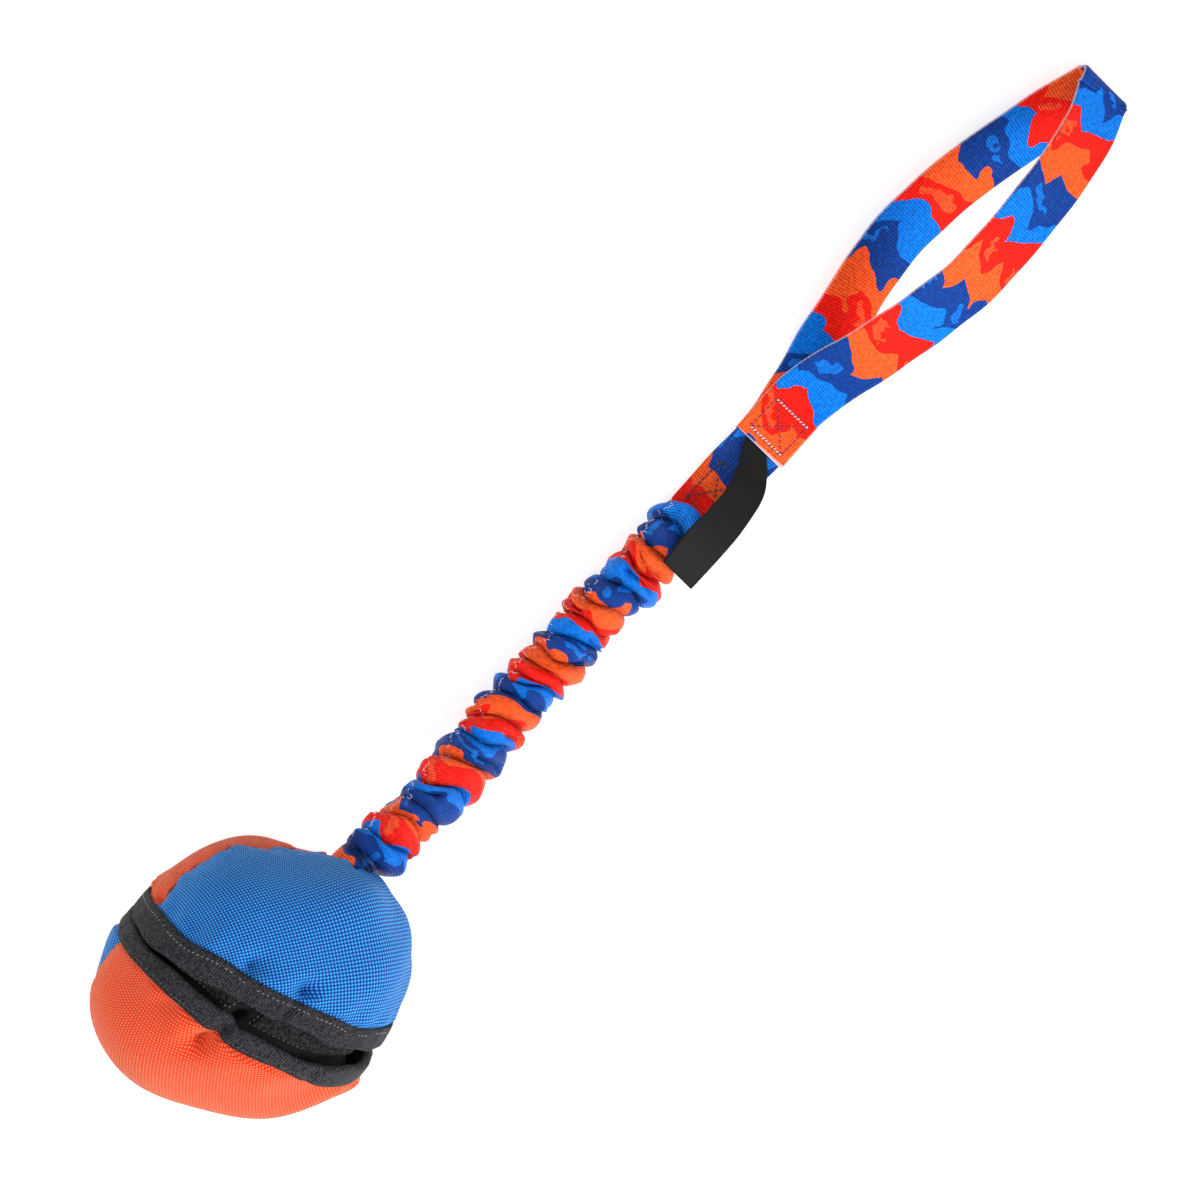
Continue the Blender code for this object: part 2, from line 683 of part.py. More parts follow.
def sleeve_section(points, half_width, half_height):
    """Rounded sections, from a circle to a flat band, square to the path."""
    tangent = unit(np.gradient(points, axis=0))
    side = unit(np.cross(np.array([0.0, 0.0, 1.0]), tangent))
    upward = np.cross(tangent, side)
    angles = np.arange(sleeve_sides) * 2.0 * math.pi / sleeve_sides
    across = (half_width * np.cos(angles))[:, :, None]
    rise = (half_height * np.sin(angles))[:, :, None]
    return points[:, None, :] + across * side[:, None, :] + rise * upward[:, None, :]


def bungee_sleeve():
    """Gathered tube, flat where it is sewn into the handle, with a bore for the cord."""
    creases = np.array(crease_stations)
    edges = creases.mean(axis=1)
    neck = np.array([bungee_route[0][0], bungee_route[1][0]])
    inside = (edges[:-1, None] + np.diff(edges)[:, None] * np.arange(pleat_rows) / pleat_rows).ravel()
    pleats_end = edges[-1]
    half_flat = 0.5 * (pleats_end + flat_start)
    tail = np.array([pleats_end, half_flat, flat_start, fold_axis_x, bungee_route[-1][0]])
    places = np.concatenate([neck, inside, tail])
    points = route_at(places)
    angles = np.arange(sleeve_sides) * 2.0 * math.pi / sleeve_sides
    swell = np.zeros((len(places), sleeve_sides))
    for j, to_left in enumerate(0.5 + 0.5 * np.cos(angles)):
        slanted = creases[:, 0] * to_left + creases[:, 1] * (1.0 - to_left)
        pleat = np.interp(places, slanted, np.arange(len(slanted)))
        swell[:, j] = np.abs(np.sin(math.pi * pleat)) ** pleat_fullness_share
    radius = sleeve_valley_radius + (sleeve_crest_radius - sleeve_valley_radius) * swell
    start = smooth_step((places - bungee_route[1][0]) / (edges[1] - bungee_route[1][0]))[:, None]
    radius = sleeve_neck_radius + (radius - sleeve_neck_radius) * start
    flat = smooth_step((places - pleats_end) / (flat_start - pleats_end))[:, None]
    half_width = radius * (1.0 - flat) + 0.5 * sleeve_flat_width * flat
    half_height = radius * (1.0 - flat) + 0.5 * sleeve_flat_thickness * flat
    outer = sleeve_section(points, half_width, half_height)
    outer[..., 2] = np.maximum(outer[..., 2], 0.0)
    bore_places = np.append(bungee_route[0][0], np.linspace(bungee_route[1][0], bore_end, bore_rows - 1))
    bore_radius = np.full((bore_rows, 1), sleeve_bore_radius)
    bore = sleeve_section(route_at(bore_places), bore_radius, bore_radius)
    rows = np.concatenate([outer[::-1], bore])
    return build("bungee_sleeve", ring_solid(rows, False), print_red)


def elastic_cord():
    """Rubber core in a braided jacket, free to stretch inside the sleeve."""
    places = np.linspace(cord_start, cord_end, cord_rows)
    points = route_at(places)
    core_radius = cord_radius - cord_jacket_thickness - clearance
    build("cord_rubber", ring_solid(tube(points, core_radius, cord_sides), False), rubber_tan)
    outer = tube(points, cord_radius, cord_sides)
    inner = tube(points, cord_radius - cord_jacket_thickness, cord_sides)
    rows = np.concatenate([outer, inner[::-1]])
    build("cord_jacket", ring_solid(rows.transpose(1, 0, 2), True), black)


def bar_frame(length, width, bar, height):
    """Stitched box with a cross: four border bars and two diagonals, as boxes to be joined."""
    half_length = 0.5 * (length - bar)
    half_width = 0.5 * (width - bar)
    diagonal = math.hypot(2.0 * half_length, 2.0 * half_width)
    tilt = math.atan2(half_width, half_length)
    return [
        (0.0, half_width, length, bar, 0.0, height),
        (0.0, -half_width, length, bar, 0.0, height),
        (half_length, 0.0, bar, width, 0.0, height),
        (-half_length, 0.0, bar, width, 0.0, height),
        (0.0, 0.0, diagonal, bar, tilt, height),
        (0.0, 0.0, diagonal, bar, -tilt, height),
    ]


def bar_corners(centre, length, width, turn, height):
    cosine, sine = math.cos(turn), math.sin(turn)
    corners = []
    for level in (0.0, height):
        for a, b in ((-1, -1), (1, -1), (1, 1), (-1, 1)):
            x, y = 0.5 * a * length, 0.5 * b * width
            turned = (x * cosine - y * sine, x * sine + y * cosine)
            corners.append((centre[0] + turned[0], centre[1] + turned[1], centre[2] + level))
    faces = [(3, 2, 1, 0), (4, 5, 6, 7), (0, 1, 5, 4), (1, 2, 6, 5), (2, 3, 7, 6), (3, 0, 4, 7)]
    return corners, faces


def stitched_box(name, centre, length, width):
    """Box-and-cross stitching as one solid: a border frame joined to its two diagonals."""
    body = None
    for index, bar_sizes in enumerate(bar_frame(length, width, stitch_bar, stitch_height)):
        x, y, size_x, size_y, turn, height = bar_sizes
        taller = height * (1.0 + bar_step_share * index)
        points, faces = bar_corners((centre[0] + x, centre[1] + y, centre[2]), size_x, size_y, turn, taller)
        bar = make_object(name if body is None else name + "_bar", points, faces, thread_dark)
        turn_outwards(bar)
        if body is None:
            body = bar
            continue
        bar.hide_render = True
        bar.display_type = "WIRE"
        union = body.modifiers.new("join_bar", "BOOLEAN")
        union.operation = "UNION"
        union.object = bar
    return body


def anchor_stitching():
    """Bartack block that sews the sleeve's and the cord's end into the ball, as a square ring."""
    start = route_at([bungee_route[0][0]])[0]
    ahead = route_at([bungee_route[1][0]])[0]
    along = unit(ahead - start)
    side = unit(np.cross(np.array([0.0, 0.0, 1.0]), along))
    upward = np.cross(along, side)
    back = start - along * (clearance + anchor_thickness)
    sections = []
    corner_signs = ((1, 1), (-1, 1), (-1, -1), (1, -1))
    wide, high = anchor_half_width * side, anchor_half_height * upward
    slim, low = (anchor_half_width - anchor_bar) * side, (anchor_half_height - anchor_bar) * upward
    for across, rise in corner_signs:
        outer = across * wide + rise * high
        inner = across * slim + rise * low
        sections.append([back + outer, back + outer + along * anchor_thickness,
                         back + inner + along * anchor_thickness, back + inner])
    return build("anchor_stitching", ring_solid(np.array(sections), True), thread_dark)


# Handle

def strap_path():
    """Centre line and roll of the webbing, from its lower end round the crown to its upper end."""
    first = (strap_start, strap_end_y, lower_leg_route[0][2], 0.0)
    last = (strap_start, strap_end_y, upper_leg_route[-1][2], 0.0)
    lower = [(x, y, z, share * strap_roll) for x, y, z, share in lower_leg_route]
    upper = [(x, y, z, share * strap_roll) for x, y, z, share in upper_leg_route]
    turns = -0.5 * math.pi + math.pi * np.arange(crown_steps + 1) / crown_steps
    entry, leave = np.array(lower[-1]), np.array(upper[0])
    crown = []
    for turn in turns:
        share = (turn + 0.5 * math.pi) / math.pi
        y = crown_centre[1] + (1.0 - 2.0 * share) * 0.5 * crown_radius
        crown.append((crown_centre[0] + crown_radius * math.cos(turn), y,
                      crown_centre[2] + crown_radius * math.sin(turn), crown_roll))
    return smooth_curve([first] + lower + crown + upper + [last], strap_steps)


def handle_strap():
    path = strap_path()
    points, roll = path[:, :3], path[:, 3]
    tangent = unit(np.gradient(points, axis=0))
    tangent[0] = (1.0, 0.0, 0.0)
    tangent[-1] = (-1.0, 0.0, 0.0)
    width = np.stack([np.zeros(len(roll)), np.cos(roll), np.sin(roll)], 1)
    width = unit(width - np.sum(width * tangent, axis=1)[:, None] * tangent)
    face = np.cross(tangent, width)
    half_width, half_thickness = 0.5 * strap_width, 0.5 * strap_thickness
    slim = half_width - strap_edge_radius
    section = np.array([(half_width, 0.0), (slim, half_thickness), (-slim, half_thickness),
                        (-half_width, 0.0), (-slim, -half_thickness), (slim, -half_thickness)])
    rings = (points[:, None, :] + section[None, :, 0:1] * width[:, None, :]
             + section[None, :, 1:2] * face[:, None, :])
    return build("handle_strap", ring_solid(rings, False), print_red, fold_pivot)


def label_tab():
    """Rubber tab: each station gives x, its left and right y, and its left and right z."""
    table = smooth_curve(label_stations, label_steps)
    left = table[:, (0, 1, 3)]
    right = table[:, (0, 2, 4)]
    share = np.linspace(0.0, 1.0, label_columns)[None, :, None]
    under = left[:, None, :] * (1.0 - share) + right[:, None, :] * share
    along = unit(np.gradient(under, axis=0))
    across = unit(right - left)[:, None, :]
    normal = unit(np.cross(along, across))
    normal = normal * np.sign(normal[..., 2:3])
    return build("label_tab", sheet_solid(under + label_thickness * normal, under), label_grey, fold_pivot)


bungee_top_level = bungee_route[-1][2] + 0.5 * sleeve_flat_thickness
fold_pivot = (fold_axis_x, strap_end_y, bungee_top_level)


def main():
    for obj in list(bpy.data.objects):
        bpy.data.objects.remove(obj)
    full_turn = 2.0 * math.pi
    for half, front_colour, back_colour in (("near", blue, orange), ("far", orange, blue)):
        start, end = front_seams[half]
        gore(half + "_front_gore", half, (start, end), front_colour)
        gore(half + "_back_gore", half, (end, start + full_turn), back_colour)
        padding(half + "_padding", half)
        lining(half + "_lining", half)
        binding(half + "_lip_binding", half)
        lip_thread(half + "_binding_thread", half)
    for side, span in (("left", left_strip_span), ("right", right_strip_span)):
        wall_strip("hook_strip_" + side, "near", span, hook_rows, hook_top)
        wall_strip("pile_strip_" + side, "far", span, pile_rows, pile_top)
        strip_thread("pile_stitching_" + side, "far", span, pile_rows, pile_thread_level)
    closure_flap()
    hinge_tape()
    bungee_sleeve()
    elastic_cord()
    anchor_stitching()
    sleeve_box_centre = (sleeve_box_centre_x, sleeve_box_centre_y, bungee_top_level + clearance)
    stitched_box("sleeve_box_stitch", sleeve_box_centre, sleeve_box_length, sleeve_box_width)
    handle_box_x = strap_start + handle_box_setback + 0.5 * handle_box_length
    upper_level = upper_leg_route[-1][2] + 0.5 * strap_thickness
    handle_box_centre = (handle_box_x, strap_end_y, upper_level + clearance)
    stitched_box("handle_box_stitch", handle_box_centre, handle_box_length, handle_box_width)
    handle_strap()
    label_tab()


main()
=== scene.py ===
# %% [markdown]
# # A bungee tug toy, dressed
# The solids of this toy are packed as a frame: rigid bodies, joints and named nodes in metres, with the
# resting flat of the ball at the origin, +X along the bungee and +Z up. This file only dresses it. Each soft
# solid is replaced by a finer surface that numpy works out, and each surface gets a procedural material.
# The box of the solids is kept here, to compare it with the box of the dressed toy at the end.

# %% Load the frame
import math
import bpy
import numpy as np
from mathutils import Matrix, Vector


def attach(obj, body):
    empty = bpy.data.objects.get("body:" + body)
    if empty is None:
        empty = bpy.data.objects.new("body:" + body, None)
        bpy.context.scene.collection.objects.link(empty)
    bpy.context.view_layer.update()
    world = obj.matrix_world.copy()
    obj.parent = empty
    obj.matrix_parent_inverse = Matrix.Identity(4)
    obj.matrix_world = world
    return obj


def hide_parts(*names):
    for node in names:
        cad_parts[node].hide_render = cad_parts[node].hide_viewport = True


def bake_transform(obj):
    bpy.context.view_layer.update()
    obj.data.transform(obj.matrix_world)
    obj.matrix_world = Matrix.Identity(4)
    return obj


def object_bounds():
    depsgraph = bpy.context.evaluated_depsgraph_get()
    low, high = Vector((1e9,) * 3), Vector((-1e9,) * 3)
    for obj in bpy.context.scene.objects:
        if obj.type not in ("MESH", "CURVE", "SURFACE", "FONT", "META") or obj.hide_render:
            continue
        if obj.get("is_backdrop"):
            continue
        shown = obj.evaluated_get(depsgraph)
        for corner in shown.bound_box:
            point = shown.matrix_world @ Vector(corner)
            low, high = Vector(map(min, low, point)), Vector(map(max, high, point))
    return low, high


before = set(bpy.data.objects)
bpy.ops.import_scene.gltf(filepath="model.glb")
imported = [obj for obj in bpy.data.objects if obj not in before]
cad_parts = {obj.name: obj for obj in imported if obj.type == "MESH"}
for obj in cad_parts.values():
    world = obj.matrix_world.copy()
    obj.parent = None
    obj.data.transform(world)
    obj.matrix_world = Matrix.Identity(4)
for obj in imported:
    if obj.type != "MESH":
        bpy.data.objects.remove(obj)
box_of_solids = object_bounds()
mm = 0.001
deg = math.pi / 180.0
full_turn = 2.0 * math.pi
print("solids reach", [round(v * 1000, 1) for v in box_of_solids[1]], "mm")

# %% [markdown]
# ## Camera, floor and light
# The toy is seen straight from above. A far camera with a narrow field gives nearly parallel rays, so lengths
# in the picture are true. The floor shows white through a little emission that only camera and mirror rays
# see, and its diffuse part keeps the soft shadow. A low soft lamp draws the cloth's threads, a weaker one
# fills the other side, and an even world light keeps colours about as they are written.

# %% Camera, floor and light
def add_object(name, data):
    obj = bpy.data.objects.new(name, data)
    bpy.context.scene.collection.objects.link(obj)
    return obj


picture_turn = -45.66 * deg
picture_centre = (205.8 * mm, 4.4 * mm)
picture_width = 480 * mm
camera_height = 13.0
subject_height = 30 * mm
lens = bpy.data.cameras.new("table_camera")
lens.sensor_width = 36.0
lens.lens = lens.sensor_width * (camera_height - subject_height) / picture_width
lens.clip_end = 60.0
camera = add_object("table_camera", lens)
camera.location = (*picture_centre, camera_height)
camera.rotation_euler = (0.0, 0.0, picture_turn)
bpy.context.scene.camera = camera
bpy.context.scene.view_settings.view_transform = "Standard"


def node(tree, kind, inputs=None, **settings):
    """One shader node; inputs are sockets or values to join, or numbers to set."""
    made = tree.nodes.new(kind)
    for key, value in settings.items():
        setattr(made, key, value)
    for key, value in (inputs or {}).items():
        value = getattr(value, "socket", value)
        if isinstance(value, bpy.types.NodeSocket):
            tree.links.new(value, made.inputs[key])
        else:
            made.inputs[key].default_value = value
    return made


def math_step(operation):
    """A method that makes one Math node."""
    return lambda value, other=0.0: value.step(operation, other)


class Value:
    """A shader value that can be added, multiplied and so on; each step is one Math node."""
    __add__, __sub__, __mul__ = math_step("ADD"), math_step("SUBTRACT"), math_step("MULTIPLY")
    __pow__, __abs__ = math_step("POWER"), math_step("ABSOLUTE")

    def __init__(self, tree, socket):
        self.tree, self.socket = tree, socket

    def step(self, operation, other=0.0):
        made = node(self.tree, "ShaderNodeMath", {0: self, 1: other}, operation=operation)
        return Value(self.tree, made.outputs[0])

    def wave(self, half_turns=1.0):
        """Sine that crosses zero at every whole number of the value times half_turns."""
        return (self * (math.pi * half_turns)).step("SINE")

    def spread(self, low, high, new_low=0.0, new_high=1.0):
        """Low to high spread over new_low to new_high, and held at the ends."""
        made = node(self.tree, "ShaderNodeMapRange", {0: self, 1: low, 2: high, 3: new_low, 4: new_high})
        return Value(self.tree, made.outputs[0])


def seen_directly(tree):
    """1 for rays from the camera, off a mirror or through glass, else 0."""
    path = node(tree, "ShaderNodeLightPath").outputs
    seen = Value(tree, path["Is Camera Ray"]).step("MAXIMUM", path["Is Glossy Ray"])
    return seen.step("MAXIMUM", path["Is Transmission Ray"])


world_level = 0.74
floor_lift = 0.39
floor_grey = 0.80
half_floor = 4.0
white = (1, 1, 1, 1)
world = bpy.data.worlds.new("studio")
bpy.context.scene.world = world
world.use_nodes = True
tree = world.node_tree
tree.nodes.clear()
back = node(tree, "ShaderNodeBackground", {0: white, 1: seen_directly(tree).spread(0.0, 1.0, world_level)})
node(tree, "ShaderNodeOutputWorld", {0: back.outputs[0]})

floor_mesh = bpy.data.meshes.new("floor")
floor_mesh.from_pydata([(x * half_floor, y * half_floor, 0) for x, y in ((-1, -1), (1, -1), (1, 1), (-1, 1))],
                       [], [(0, 1, 2, 3)])
floor = add_object("floor", floor_mesh)
floor_paint = bpy.data.materials.new("white_table")
floor_paint.use_nodes = True
tree = floor_paint.node_tree
tree.nodes.clear()
matt = node(tree, "ShaderNodeBsdfDiffuse", {0: (floor_grey, floor_grey, floor_grey, 1)})
glow = node(tree, "ShaderNodeEmission", {0: white, 1: seen_directly(tree) * floor_lift})
both = node(tree, "ShaderNodeAddShader", {0: matt.outputs[0], 1: glow.outputs[0]})
node(tree, "ShaderNodeOutputMaterial", {0: both.outputs[0]})
floor_mesh.materials.append(floor_paint)
floor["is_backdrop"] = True


def soft_lamp(name, place, aim, size, power):
    """A square lamp at a place, facing the aim point."""
    data = bpy.data.lights.new(name, "AREA")
    data.size = size
    data.energy = power
    obj = add_object(name, data)
    obj.location = place
    x, y, z = np.array(aim) - np.array(place)
    obj.rotation_euler = (math.atan2(math.hypot(x, y), -z), 0.0, math.atan2(y, x) - math.pi / 2)


toy_middle = (0.2, 0.0, 0.03)
soft_lamp("key_softbox", (0.30, -1.45, 0.90), toy_middle, 0.6, 30.0)
soft_lamp("side_softbox", (-0.9, 0.5, 1.0), toy_middle, 0.7, 10.0)
print("camera", round(camera_height, 2), "m up, lens", round(lens.lens), "mm")

# %% [markdown]
# ## Numbers and surfaces as arrays
# Every piece below is a grid of points: one number runs along it, another across it, and a formula turns
# the two into a place. Whole arrays keep the code short and fast. A wobble is a sum of a few sines with
# seeded phases: it makes cloth look sewn by hand and still comes out the same each run.

# %% Small helpers
def unit(vectors):
    """Each vector divided by its own length."""
    vectors = np.asarray(vectors, float)
    return vectors / np.linalg.norm(vectors, axis=-1, keepdims=True)


def smooth_step(value):
    """0 below 0, 1 above 1, and 3 v^2 - 2 v^3 between."""
    value = np.clip(value, 0.0, 1.0)
    return value * value * (3.0 - 2.0 * value)


def bump(distance, width):
    """A bell: exp of minus the square of distance over width."""
    return np.exp(-(distance / width) ** 2)


def pairs(first, second):
    """Two grids of numbers as one grid of pairs."""
    return np.stack(np.broadcast_arrays(first, second), -1)


def run_length(points):
    """Length of a line of points from its start to each point."""
    return np.concatenate([[0.0], np.cumsum(np.linalg.norm(np.diff(points, axis=0), axis=1))])


def smooth_curve(points, steps):
    """Catmull-Rom curve through the points, with a number of steps between each two."""
    points = np.asarray(points, float)
    padded = np.vstack([2 * points[0] - points[1], points, 2 * points[-1] - points[-2]])
    a, b, c, d = padded[:-3, None], padded[1:-2, None], padded[2:-1, None], padded[3:, None]
    t = (np.arange(steps) / steps)[None, :, None]
    curve = 0.5 * (2 * b + (c - a) * t + (2 * a - 5 * b + 4 * c - d) * t ** 2 + (3 * b - a - 3 * c + d) * t ** 3)
    return np.vstack([curve.reshape(-1, points.shape[1]), points[-1:]])


def wobble(value, period, seed, waves=5):
    """Sum of sines of uneven periods around one period, between about -1 and 1."""
    draw = np.random.default_rng(seed)
    speeds = full_turn / period * draw.uniform(0.55, 1.6, waves)
    phases = draw.uniform(0, full_turn, waves)
    return sum(np.sin(speed * value + phase) for speed, phase in zip(speeds, phases)) / math.sqrt(waves)


def ring_wobble(angle, waves, seed, count=4):
    """Sum of whole-number cosines round a circle, so that it closes on itself."""
    draw = np.random.default_rng(seed)
    numbers = draw.integers(waves[0], waves[1] + 1, count)
    return sum(np.cos(number * angle + draw.uniform(0, full_turn)) for number in numbers) / math.sqrt(count)


print("wobble of 0..30 mm:", np.round(wobble(np.linspace(0, 0.03, 4), 0.012, 1), 2))

# %% [markdown]
# A mesh is its points, its faces and a place on the flat cloth for every corner (the UV map). The faces of
# a grid are pure counting: cell (i, j) joins four neighbours. A cloth sheet gets a front grid, a back grid
# and a rim between them; a rope or sleeve wraps its columns round. Faces that end up pointing inwards show
# as a negative volume, and then the whole mesh is flipped.

# %% Mesh helpers
def grid_quads(rows, columns, wrap=False):
    """Corner numbers of each cell (i, j): (i, j), (i, j+1), (i+1, j+1), (i+1, j)."""
    i, j = np.meshgrid(np.arange(rows - 1), np.arange(columns if wrap else columns - 1), indexing="ij")
    here = i * columns + j
    beside = i * columns + (j + 1) % columns
    return np.stack([here, beside, beside + columns, here + columns], -1).reshape(-1, 4)


def corner_places(flat):
    """Flat-cloth place of each cell's four corners, from a grid of places one column wider if it wraps."""
    return np.stack([flat[:-1, :-1], flat[:-1, 1:], flat[1:, 1:], flat[1:, :-1]], 2).reshape(-1, 4, 2)


def make_piece(name, points, groups, material):
    """Object from points and groups of (faces, corner places), turned outwards by its volume."""
    mesh = bpy.data.meshes.new(name)
    points = np.asarray(points, float).reshape(-1, 3)
    corners = np.concatenate([faces.ravel() for faces, _ in groups]).astype(np.int32)
    sizes = np.concatenate([np.full(len(faces), faces.shape[1]) for faces, _ in groups])
    places = np.concatenate([flat.reshape(-1, 2) for _, flat in groups])
    mesh.vertices.add(len(points))
    mesh.vertices.foreach_set("co", points.astype(np.float32).ravel())
    mesh.loops.add(len(corners))
    mesh.loops.foreach_set("vertex_index", corners)
    mesh.polygons.add(len(sizes))
    mesh.polygons.foreach_set("loop_start", np.concatenate([[0], np.cumsum(sizes)[:-1]]).astype(np.int32))
    mesh.uv_layers.new(name="cloth").data.foreach_set("uv", places.astype(np.float32).ravel())
    mesh.update(calc_edges=True)
    mesh.validate()
    mesh.shade_smooth()
    mesh.calc_loop_triangles()
    triangles = np.zeros(len(mesh.loop_triangles) * 3, np.int32)
    mesh.loop_triangles.foreach_get("vertices", triangles)
    a, b, c = points[triangles.reshape(-1, 3)].transpose(1, 0, 2)
    if np.sum(np.cross(a, b) * c) < 0:
        mesh.flip_normals()
    mesh.materials.append(material)
    return add_object(name, mesh)


def thick_sheet(name, front, back, flat, material):
    """A closed cloth sheet: a front grid, a back grid and a rim between them."""
    rows, columns = front.shape[:2]
    size = rows * columns
    quads = grid_quads(rows, columns)
    places = corner_places(flat)
    across, along = np.arange(columns), np.arange(rows) * columns
    rim = np.concatenate([across, along[1:] + columns - 1, along[-1] + across[-2::-1], along[-2:0:-1]])
    beyond = np.roll(rim, -1)
    edge = np.stack([beyond, rim, rim + size, beyond + size], 1)
    spots = flat.reshape(-1, 2)
    edge_places = np.stack([spots[beyond], spots[rim], spots[rim], spots[beyond]], 1)
    points = np.concatenate([front.reshape(-1, 3), back.reshape(-1, 3)])
    groups = [(quads, places), (quads[:, ::-1] + size, places[:, ::-1]), (edge, edge_places)]
    return make_piece(name, points, groups, material)


def fan(ring, tip):
    """Triangles from each edge of a ring of point numbers to a tip."""
    return np.stack([np.roll(ring, -1), ring, np.full(len(ring), tip)], 1)


def tube_groups(rows, columns, flat):
    """Side of a tube and a fan at each end; two middle points come after the rings."""
    first, last = np.arange(columns), (rows - 1) * columns + np.arange(columns)
    middle = rows * columns
    return [(grid_quads(rows, columns, True), corner_places(flat)),
            (fan(first, middle), np.repeat(flat[:1, :-1].reshape(-1, 1, 2), 3, 1)),
            (fan(last, middle + 1)[:, (1, 0, 2)], np.repeat(flat[-1:, :-1].reshape(-1, 1, 2), 3, 1))]


def closed_tube(name, rings, flat, material):
    """A tube with closed ends from rings of points."""
    points = np.concatenate([rings.reshape(-1, 3), rings[0].mean(0)[None], rings[-1].mean(0)[None]])
    return make_piece(name, points, tube_groups(*rings.shape[:2], flat), material)


def closed_ring(name, rings, flat, material):
    """A band that closes on itself in both directions, from rings of points."""
    rows, columns = rings.shape[:2]
    quads = grid_quads(rows + 1, columns, True) % (rows * columns)
    return make_piece(name, rings, [(quads, corner_places(flat))], material)


def dress(piece, replaced, slot, *bodies):
    """Hide the solid a piece replaces and put the piece on the body it rides on; with two bodies and a bend's span it
    stays where it is. The material slot is not used.
    """
    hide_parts(replaced)
    if len(bodies) == 1:
        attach(piece, *bodies)
    else:
        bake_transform(piece)


print("a 3 by 4 grid has", len(grid_quads(3, 4)), "cells")

# %% [markdown]
# ## The ball's shape
# The real ball is two sewn cups, each of two cloth panels over foam, that stand a little open like a mouth.
# A lathe would make it too even, so the surface is a formula: a direction from the ball's centre is named by
# how far it lies from the lip and how far round the mouth, and a rounded outline says how far out the cloth
# lies there. The numbers are those of the solids.

# %% The ball's numbers and surface
plan_radius = 60.0 * mm
outline_shares = (1.010, 0.932, 0.925, 1.010, 1.012, 1.132, 1.020, 0.933, 0.910, 0.897, 0.955, 1.092)
ball_centre = np.array([0.0, 0.0, 55.0 * mm])
ball_top_reach = 57.0 * mm
ball_bottom_reach = 58.5 * mm
ball_fullness = 2.15
mouth_yaw = 14.4 * deg
mouth_pitch = 14.0 * deg
mouth_normal = np.array([math.cos(mouth_pitch) * math.cos(mouth_yaw),
                         math.cos(mouth_pitch) * math.sin(mouth_yaw), math.sin(mouth_pitch)])
mouth_up = unit(np.array([0.0, 0.0, 1.0]) - math.sin(mouth_pitch) * mouth_normal)
mouth_left = np.cross(mouth_normal, -mouth_up)
poles = {"near": unit((0.980, 0.030, -0.150)), "far": unit((-0.750, 0.250, -0.600))}
hinge_longitude = 96.0 * deg
lip_stations = np.array([
    (-168, 3.0, 3.2), (-144, 3.6, 4.4), (-120, 4.0, 5.4), (-96, 3.9, 6.1), (-72, 3.4, 6.7), (-60, 3.4, 7.2),
    (-48, 3.6, 7.8), (-36, 4.6, 7.4), (-24, 4.8, 7.2), (-12, 4.6, 6.4), (0, 4.8, 4.2), (12, 4.4, 1.9),
    (24, 3.9, 0.3), (36, 3.6, -0.7), (48, 3.8, -1.6), (60, 3.7, -2.2), (72, 3.4, -2.2), (96, 2.6, -1.5),
    (120, 1.8, 0.0), (144, 1.6, 1.2), (168, 2.2, 2.2)]) * (deg, mm, mm)
binding_width = {"near": 11.8 * mm, "far": 9.6 * mm}
binding_nose = 1.6 * mm
wall_ramp = 2.2 * mm
clearance = 0.3 * mm
seams = {"near": (-120.0 * deg, 56.0 * deg), "far": (-120.0 * deg, 58.0 * deg)}
left_seam = np.array([(0, 56.5), (12, 57.5), (22, 56.5), (30, 58.5), (39, 56.0), (49, 62.5), (56, 59.0),
                      (66, 61.0), (78, 58.0), (96, 58.0)]) * (mm, deg)
scallops = {"near": (1.0 * mm, 18.0 * mm, 13), "far": (0.7 * mm, 20.0 * mm, 17)}
seam_groove = (1.2 * mm, 9.0 * mm)
# Turn round the mouth in degrees, then millimetres: distance from the lip, width and depth.
lip_dents = {"near": ((5.0, 16.5, 8.6, 7.0), (-18.5, 17.5, 8.6, 7.4), (-6.0, 22.0, 34.0, -0.9),
                      (32.0, 17.0, 13.0, 1.3)),
             "far": ((-6.0, 17.0, 9.5, 4.6), (-48.0, 20.0, 20.0, 1.6), (30.0, 20.0, 22.0, 1.4))}
# Turn in degrees, then millimetres: width, depth and reach from the lip.
lip_folds = {"near": ((-18.8, 2.4, 1.3, 15.0),),
             "far": ((-6.0, 3.0, 3.4, 24.0), (1.0, 4.6, -1.3, 27.0), (-47.0, 3.0, 0.9, 14.0))}


def turn_between(longitude, centre):
    """Shortest signed turn from a centre to a longitude."""
    return (longitude - centre + math.pi) % full_turn - math.pi


def outline_radius(direction):
    """Distance from the centre to the stuffed outline: a rounded box of plan radius and height, cut by the table."""
    x, y, rise = np.moveaxis(direction, -1, 0)
    azimuth = np.arctan2(y, x)
    angles = -math.pi + np.arange(12) * full_turn / 12
    plan = np.full(azimuth.shape, np.mean(outline_shares))
    for k in range(1, 6):
        plan = plan + (np.sum(outline_shares * np.cos(k * angles)) / 6) * np.cos(k * azimuth)
        plan = plan + (np.sum(outline_shares * np.sin(k * angles)) / 6) * np.sin(k * azimuth)
    reach = np.where(rise > 0.0, ball_top_reach, ball_bottom_reach)
    flat = np.hypot(x, y) / (plan_radius * plan)
    radius = (flat ** ball_fullness + (np.abs(rise) / reach) ** ball_fullness) ** (-1.0 / ball_fullness)
    return np.minimum(radius, ball_centre[2] / np.maximum(-rise, 1e-9))


lip_curve = smooth_curve(np.vstack([lip_stations[-1] - (full_turn, 0, 0), lip_stations,
                                    lip_stations[0] + (full_turn, 0, 0)]), 10)


